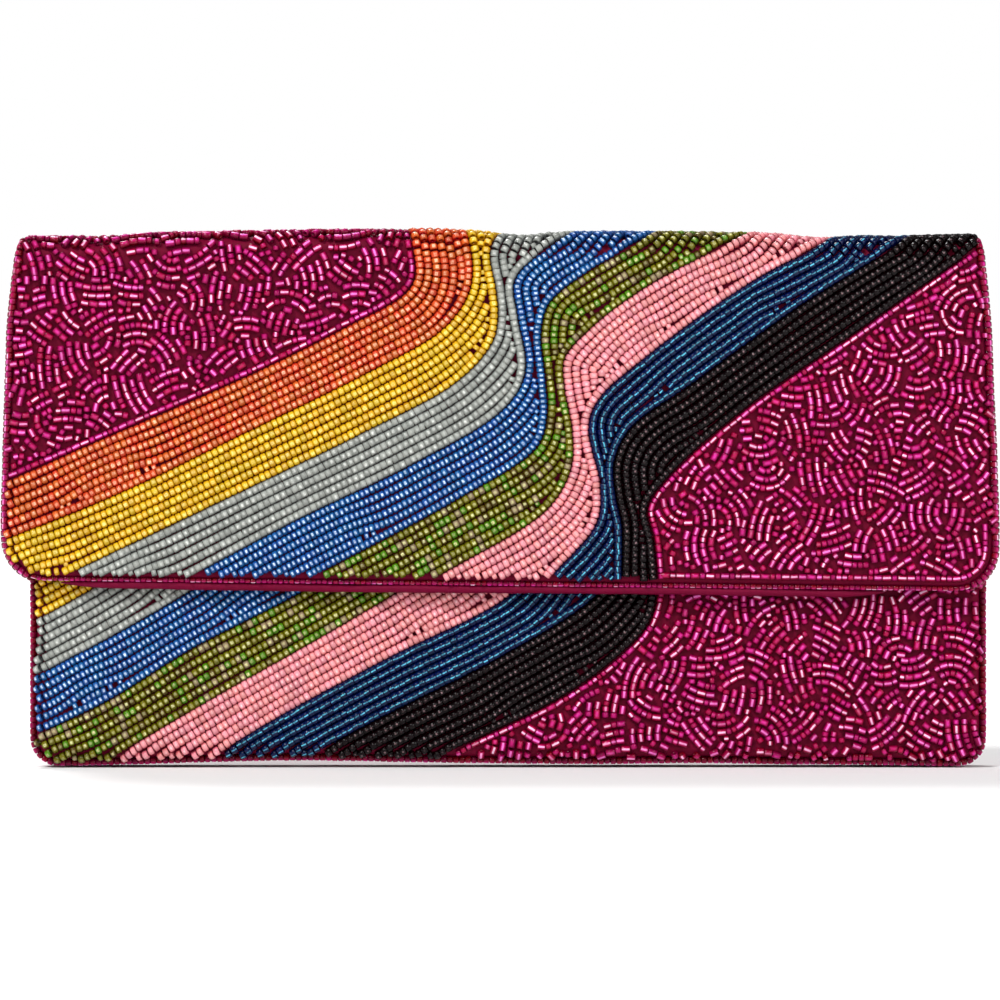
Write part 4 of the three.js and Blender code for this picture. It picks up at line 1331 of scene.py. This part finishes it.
def make_linings():
    # The lining's path runs up inside the flap, over the strip and down the back.
    y_flap, z_strip, y_back = -9.72, 134.32, 9.86
    inset, low = 1.05, float(flap_low(0)) + 1.05
    corner = FLAP_CORNER - inset
    heights = np.concatenate([low + corner * (1 - np.cos(np.linspace(0, PI / 2, 10))),
                              np.linspace(low + corner + 2.5, 129.5, 28)])
    up = np.stack([np.full(len(heights), y_flap), heights], 1)
    over = fold_curve((y_flap, 129.5), (y_flap, z_strip), (-5.6, z_strip))
    path = np.concatenate([up[:-1], over, [[-2.8, z_strip], [0, z_strip]]])
    heights = path[:, 1]
    margin = lambda i: inset + (0.6 - inset) * ease(heights[i], 126, 134)
    short = lambda i: corner - math.sqrt(max(corner**2 - max(low + corner - heights[i], 0) ** 2, 0))
    tilt = lambda x, z: (flap_low(x) - flap_low(0)) * (1 - ease(z, low, low + 60))
    flap = swept("flap_lining_sheet", path,
                 lambda i: float(cover_left(min(heights[i], V_MID))) + margin(i) + short(i),
                 lambda i: float(cover_right(min(heights[i], V_MID))) - margin(i) - short(i),
                 LINING, lift=lambda x, z: tilt(x, z) + top_wave(x) * ease(z, V1 - 16, z_strip))
    named(flap, "lining", bends_front, "flap_lining")

    down = np.stack([np.full(34, y_back), np.linspace(129.0, 3.6, 34)], 1)
    over = fold_curve((5.6, z_strip), (y_back, z_strip), (y_back, 129.0))
    path = np.concatenate([[[0, z_strip], [2.8, z_strip]], over, down[1:]])
    heights = path[:, 1]
    half = BODY_HALF - 3.2
    left = lambda i: -121.0 + (BODY_X - half + 121.0) * ease(path[i, 0], 2, 9.5)
    right = lambda i: 121.0 + (BODY_X + half - 121.0) * ease(path[i, 0], 2, 9.5)
    back = swept("back_lining_sheet", path, left, right, LINING,
                 lift=lambda x, z: top_wave(x) * ease(z, FOLD_Z - 12, z_strip) + bow_at(x, z))
    named(back, "lining", bends_back, "back_lining", "strip_lining")

    path = np.stack([np.full(34, -3.0), np.linspace(3.6, MOUTH_Z - 0.3, 34)], 1)
    front = swept("front_lining_sheet", path, lambda i: BODY_X - half, lambda i: BODY_X + half,
                  LINING, lift=bow_at)
    named(front, "lining", "body", "front_lining")


def bowed(line):
    """A line (x, z) that follows the bow of the bottom edge."""
    return line + np.stack([np.zeros(len(line)), bow_at(line[:, 0], line[:, 1])], 1)


def u_path(reach, low, corner, top):
    """Down the left side, along the base and up the right side, as points (x, z)."""
    left, right = BODY_X - reach, BODY_X + reach
    down = np.stack([np.full(40, left), np.linspace(top, low + corner, 40)], 1)
    up = np.stack([np.full(40, right), np.linspace(low + corner, top, 40)], 1)
    base = np.stack([np.linspace(left + corner, right - corner, 80), np.full(80, low)], 1)
    first = arc_points(left + corner, low + corner, corner, PI, 1.5 * PI, 12)
    second = arc_points(right - corner, low + corner, corner, 1.5 * PI, 2 * PI, 12)
    return bowed(np.concatenate([down[:-1], first, base[1:-1], second, up[1:]]))


def depth_sheet(name, line, ys, material, sag, thickness):
    """A sheet that follows a line in the front view and spans the depth. sag() draws its
    middle inwards."""
    out = -left_of(line)
    s = run_lengths(line)
    outer, inner, plan = [], [], []
    for y in ys:
        t = (y - ys[0]) / (ys[-1] - ys[0])
        for store, depth in ((outer, 0.0), (inner, thickness)):
            q = line - out * (sag(line, t) + depth)[:, None]
            store.append(np.stack([q[:, 0], np.full(len(q), y), q[:, 1]], 1))
        plan.append(np.stack([s, np.full(len(s), y)], 1))
    return thick_sheet(name, np.concatenate(outer), np.concatenate(inner),
                       grid_faces(len(ys), len(line)), material, np.concatenate(plan))


def make_gussets():
    """Side gussets, base and their lining: each a band round the body between the rolls."""
    reach = BODY_HALF - BEAD_REACH
    corner = BODY_CORNER + BODY_ROLL
    line = u_path(reach, BODY_LOW - BODY_ROLL, corner, MOUTH_Z)
    ys = np.linspace(FRONT_Y + BODY_ROLL - 0.3, BACK_Y - BODY_ROLL + 0.3, 22)

    def sag(line, t):
        """The gusset folds inwards, more towards the top, and the base stays flat."""
        tall = ease(line[:, 1], 6, 110)
        crease = math.sin(PI * t) ** 1.4
        return tall * crease * 1.9 + 0.12 * np.sin(line[:, 1] / 9.0) * crease

    seam = BODY_HALF - 7
    parts = {
        "gusset_left_side": (line[:, 0] < BODY_X - seam + 1, "gusset_left"),
        "base_cloth": (np.abs(line[:, 0] - BODY_X) < seam + 1.5, "base_fabric"),
        "gusset_right_side": (line[:, 0] > BODY_X + seam - 1, "gusset_right"),
    }
    for name, (use, node) in parts.items():
        part = line[use]
        if name == "base_cloth":
            part = part[part[:, 1] - bow_at(part[:, 0], part[:, 1]) < BODY_LOW - BODY_ROLL + 0.5]
        ob = named(depth_sheet(name, part, ys, SATIN, sag, CLOTH_T), "satin", "body", node)
        length = whole_length(part) * MM
    inner = u_path(reach - 1.9, BODY_LOW - BODY_ROLL + 2.1, corner - 1.6, MOUTH_Z - 0.4)
    ob = depth_sheet("gusset_lining_band", inner, np.linspace(-2.9, 9.3, 20), LINING, sag, 0.35)
    named(ob, "lining", "body", "gusset_lining")
    length = whole_length(inner) * MM
    # seams: a line of small stitches where each gusset meets the panels
    proud = 0.1
    u = u_path(reach + proud, BODY_LOW - BODY_ROLL - proud, corner, MOUTH_Z - 1)
    out = -left_of(u)
    normals = np.stack([out[:, 0], np.zeros(len(u)), out[:, 1]], 1)
    for name, y in (("front", FRONT_Y + BODY_ROLL - 0.2), ("back", BACK_Y - BODY_ROLL + 0.2)):
        seam_line = np.stack([u[:, 0], np.full(len(u), y), u[:, 1]], 1)
        named(stitches("gusset_seam_" + name, seam_line, normals, 1.8, 0.9, 0.16), "satin", "body")


def make_mouth():
    """A satin binding folded over the front panel's top edge, and its stitches."""
    top, bottom = 131.4, 126.6
    y0, y1 = -6.15, -2.65
    mid, half = (y0 + y1) / 2, (y1 - y0) / 2
    t = np.linspace(0, PI, 12)
    section = np.concatenate([
        np.stack([np.full(6, y0), np.linspace(bottom, top - half, 6)], 1)[:-1],
        np.stack([mid - half * np.cos(t), top - half + half * np.sin(t)], 1),
        np.stack([np.full(6, y1), np.linspace(top - half, bottom, 6)], 1)[1:],
    ])
    left, right = BODY_X - BODY_HALF + 1.4, BODY_X + BODY_HALF - 1.4
    ob = swept("mouth_binding_cloth", section, lambda i: left, lambda i: right, SATIN, cols=120)
    named(ob, "satin", "body", "mouth_binding")
    s = whole_length(section)
    xs = np.linspace(left + 1, right - 1, 200)
    for name, y, n in (("outside", y0 - 0.08, -1.0), ("inside", y1 + 0.5, 1.0)):
        line = np.stack([xs, np.full(200, y), np.full(200, bottom + 0.9)], 1)
        normals = np.tile([[0.0, n, 0.0]], (200, 1))
        named(stitches("mouth_stitches_" + name, line, normals, 2.2, 1.0, 0.18), "satin", "body")


def make_pocket():
    """The slip pocket on the back lining, with a turned hem at its mouth and sewn sides."""
    x0, x1, z0, z1 = -73.2, 76.8, 14.0, 92.0
    cols, rows = 80, 46

    def surface(x, z):
        """The pocket's y, and the share of its height: sewn down at its rim, loose inside."""
        u, w = (x - x0) / (x1 - x0), (z - z0) / (z1 - z0)
        rim = np.minimum(np.minimum(u, 1 - u) * 150, w * 78)
        return 8.95 - 0.75 * ease(rim, 0, 4.5) - 0.25 * np.sin(PI * u) * w**2, w

    X, Z = np.meshgrid(np.linspace(x0, x1, cols), np.linspace(z0, z1, rows))
    y, w = surface(X, Z)
    y = y + 0.05 * np.sin(X / 6.0 + Z / 9.0)
    hem = ease(w, 0.93, 0.955)
    outer = np.stack([X, y - 0.28 * hem, Z], 2).reshape(-1, 3)
    inner = np.stack([X, y + 0.32, Z], 2).reshape(-1, 3)
    ob = thick_sheet("slip_pocket_cloth", outer, inner, grid_faces(rows, cols), LINING,
                     np.stack([X.ravel(), Z.ravel()], 1))
    named(ob, "lining", "body", "slip_pocket")
    lines = {
        "hem": np.stack([np.linspace(x0 + 2, x1 - 2, 120), np.full(120, z1 - 5.6)], 1),
        "sides": np.concatenate([
            np.stack([np.full(60, x0 + 1.2), np.linspace(z1 - 1, z0 + 1.2, 60)], 1),
            np.stack([np.linspace(x0 + 1.4, x1 - 1.4, 120), np.full(120, z0 + 1.2)], 1),
            np.stack([np.full(60, x1 - 1.2), np.linspace(z0 + 1.4, z1 - 1, 60)], 1)]),
    }
    for name, line in lines.items():
        y = surface(line[:, 0], line[:, 1])[0] - 0.06
        normals = np.tile([[0.0, -1.0, 0.0]], (len(line), 1))
        ob = stitches("pocket_stitches_" + name, np.stack([line[:, 0], y, line[:, 1]], 1), normals,
                      2.2, 1.1, 0.16)
        named(ob, "lining", "body")


def make_boards():
    """The four stiffening boards."""
    def flap_board():
        left, right, r = float(cover_left(50)), float(cover_right(50)), FLAP_CORNER
        low = flap_low(0) + 1.4
        vs = np.linspace(low + r + 2, 128.5, 18)
        return np.concatenate([
            np.stack([cover_left(vs[::-1]), vs[::-1]], 1),
            arc_points(left + r, low + r, r, PI, 1.5 * PI),
            arc_points(right - r, low + r, r, 1.5 * PI, 2 * PI),
            np.stack([cover_right(vs), vs], 1)])

    across = np.linspace(FRONT_LEFT + 5, FRONT_RIGHT - 5, 60)
    level = lambda z: np.stack([across, np.full(len(across), z)], 1)
    r = BODY_CORNER
    body = lambda top: bowed(np.concatenate([
        [[FRONT_LEFT, top]], arc_points(FRONT_LEFT + r, BODY_LOW + r, r, PI, 1.5 * PI),
        level(BODY_LOW), arc_points(FRONT_RIGHT - r, BODY_LOW + r, r, 1.5 * PI, 2 * PI),
        [[FRONT_RIGHT, top]]]))
    base = bowed(np.concatenate([level(2.4), level(3.5)[::-1]]))
    for name, outline, y0, y1, owner, node in (
        ("flap_board_card", flap_board(), -11.4, -10.2, "flap", "flap_board"),
        ("front_board_card", body(126.0), -5.0, -3.8, "body", "front_board"),
        ("back_board_card", body(128.5), 10.2, 11.4, "body", "back_board"),
        ("base_board_card", base, -2.4, 8.8, "body", "base_board"),
    ):
        named(slab_sheet(name, outline, y0, y1, BOARD), "board", owner, node)


def make_piping():
    """The satin roll under the flap's lower edge. It thins out at both ends."""
    n, m = 260, 14
    xs = np.linspace(-112, 98, n)
    end = np.minimum(np.clip((xs + 112) / 14, 0.02, 1), np.clip((98 - xs) / 12, 0.02, 1)) ** 0.5
    radius = 1.1 * end * (1 + 0.05 * np.sin(xs / 4.7) + 0.04 * np.sin(xs / 1.9))
    z = flap_low(xs) - 3.02 + 0.5 * (1 - end) + 0.12 * np.sin(xs / 21.0) + 0.06 * np.sin(xs / 5.0)
    y = -10.85 + 0.05 * np.sin(xs / 9.0)
    t = np.arange(m) * 2 * PI / m
    verts = np.stack([np.broadcast_to(xs[:, None], (n, m)),
                      y[:, None] - radius[:, None] * np.cos(t),
                      z[:, None] + radius[:, None] * np.sin(t)], 2).reshape(-1, 3)
    faces = grid_faces(n, m, closed=True)
    caps = [np.arange(m)[None, ::-1], (np.arange(m) + (n - 1) * m)[None]]
    ob = new_object("flap_piping_roll", verts, [faces] + caps, [SATIN_ROLL])
    plan = np.stack([np.broadcast_to(xs[:, None], (n, m)), np.broadcast_to(1.1 * t, (n, m)),
                     np.zeros((n, m))], 2).reshape(-1, 3)
    vector_attribute(ob, "cloth", plan * MM)
    named(ob, "satin", "flap", "flap_piping")


def make_snap():
    """The magnetic snap: cup, magnet and washer on the front panel, stud and washer on the flap."""
    face, back, seat = -8.0, -6.12, -9.1   # the cup's face and back, and the stud's seat
    wide = 8.5                             # radius of the cup and the washers
    cup = rounded_section([(3.4, face + 0.1), (3.75, face), (7.7, face), (wide, face + 0.55),
                           (wide, back), (8.1, back), (8.1, face + 0.4), (3.4, face + 0.4)], 0.22)
    ring = rounded_section([(3.75, face + 0.7), (7.75, face + 0.7), (7.75, back), (3.75, back)],
                           0.15)
    washer = lambda y: rounded_section([(3, y), (wide, y), (wide, y + 0.8), (3, y + 0.8)], 0.18)
    plate = rounded_section([(7.5, seat), (7.5, seat + 0.7), (3.1, seat + 0.7)], 0.2)[:10]
    stud = np.concatenate([
        [(0.001, seat + 0.02)], plate,
        [(2.75, seat + 0.78), (2.45, seat + 1.0), (2.45, seat + 1.3), (2.62, seat + 1.6),
         (2.6, seat + 1.95), (2.2, seat + 2.2), (1.2, seat + 2.26), (0.001, seat + 2.26)]])
    for name, profile, look, slot, owner, node in (
        ("snap_socket_cup", cup, NICKEL, "nickel", "body", "snap_socket"),
        ("snap_magnet_ring", ring, MAGNET, "magnet", "body", "snap_magnet"),
        ("snap_socket_washer_disc", washer(-4.8), NICKEL, "nickel", "body", "snap_socket_washer"),
        ("snap_stud_washer_disc", washer(-11.2), NICKEL, "nickel", "flap", "snap_stud_washer"),
        ("snap_stud_plate", stud, NICKEL, "nickel", "flap", "snap_stud"),
    ):
        named(lathe(name, profile, (0.0, SNAP_Z), look), slot, owner, node)


# ---- Stage, light and camera ----

def linked(name, data):
    """An object made from light or camera data, in the scene."""
    ob = bpy.data.objects.new(name, data)
    bpy.context.scene.collection.objects.link(ob)
    return ob


def make_stage():
    """A pale floor, a white surround, three suns, two softboxes and the camera."""
    n, reach = 96, 6000
    t = np.arange(n) * 2 * PI / n
    verts = np.stack([reach * np.cos(t), reach * np.sin(t), np.zeros(n)], 1)
    m = Look("pale_floor")
    position = m.position()
    tone = m.mix(m.noise(position, 3, 3), linear(244, 244, 244), linear(250, 250, 250))
    m.set(Base_Color=tone, Roughness=0.9, Specular_IOR_Level=0.1)
    new_object("floor", verts, [np.arange(n)[None]], [m.mat])

    world = bpy.data.worlds.new("studio")
    bpy.context.scene.world = world
    world.use_nodes = True
    nodes, links = world.node_tree.nodes, world.node_tree.links
    ground = nodes["Background"]
    ground.inputs["Color"].default_value = (1, 1, 1, 1)
    ground.inputs["Strength"].default_value = 0.25
    seen = nodes.new("ShaderNodeBackground")
    seen.inputs["Strength"].default_value = 1.0
    seen.inputs["Color"].default_value = (1, 1, 1, 1)
    path, mix = nodes.new("ShaderNodeLightPath"), nodes.new("ShaderNodeMixShader")
    links.new(path.outputs["Is Camera Ray"], mix.inputs[0])
    links.new(ground.outputs[0], mix.inputs[1])
    links.new(seen.outputs[0], mix.inputs[2])
    links.new(mix.outputs[0], nodes["World Output"].inputs["Surface"])

    def softbox(name, place, aim, size, power):
        data = bpy.data.lights.new(name, "AREA")
        data.shape, data.size, data.size_y, data.energy = "RECTANGLE", size[0], size[1], power
        ob = linked(name, data)
        ob.location = place
        ob.rotation_euler = (Vector(aim) - Vector(place)).to_track_quat("-Z", "Y").to_euler()

    def sun(name, azimuth, elevation, strength, spread):
        """Even light that comes from that side. Azimuth 0 is the front, 90 the right."""
        data = bpy.data.lights.new(name, "SUN")
        data.energy, data.angle = strength, math.radians(spread)
        ob = linked(name, data)
        a, e = math.radians(azimuth), math.radians(elevation)
        way = Vector((math.sin(a) * math.cos(e), -math.cos(a) * math.cos(e), math.sin(e)))
        ob.rotation_euler = way.to_track_quat("Z", "Y").to_euler()

    sun("key", -32, 44, 2.3, 14)
    sun("fill", 38, 26, 0.9, 22)
    sun("rear", 200, 48, 1.9, 24)
    softbox("box_left", (-0.42, -1.25, 0.52), (0, 0, 0.07), (0.16, 0.28), 1.6)
    softbox("box_right", (0.5, -1.2, 0.3), (0, 0, 0.07), (0.14, 0.24), 1.0)

    data = bpy.data.cameras.new("camera")
    data.lens, data.sensor_width = 212.2, 36
    data.clip_start, data.clip_end = 0.1, 30
    cam = linked("camera", data)
    cam.location = (0, -1.514, 0.0685)
    cam.rotation_euler = (PI / 2, 0, 0)
    bpy.context.scene.camera = cam
    bpy.context.scene.view_settings.view_transform = "Standard"


make_stage()
make_beads()
make_covers()
make_linings()
make_gussets()
make_mouth()
make_pocket()
make_boards()
make_piping()
make_snap()
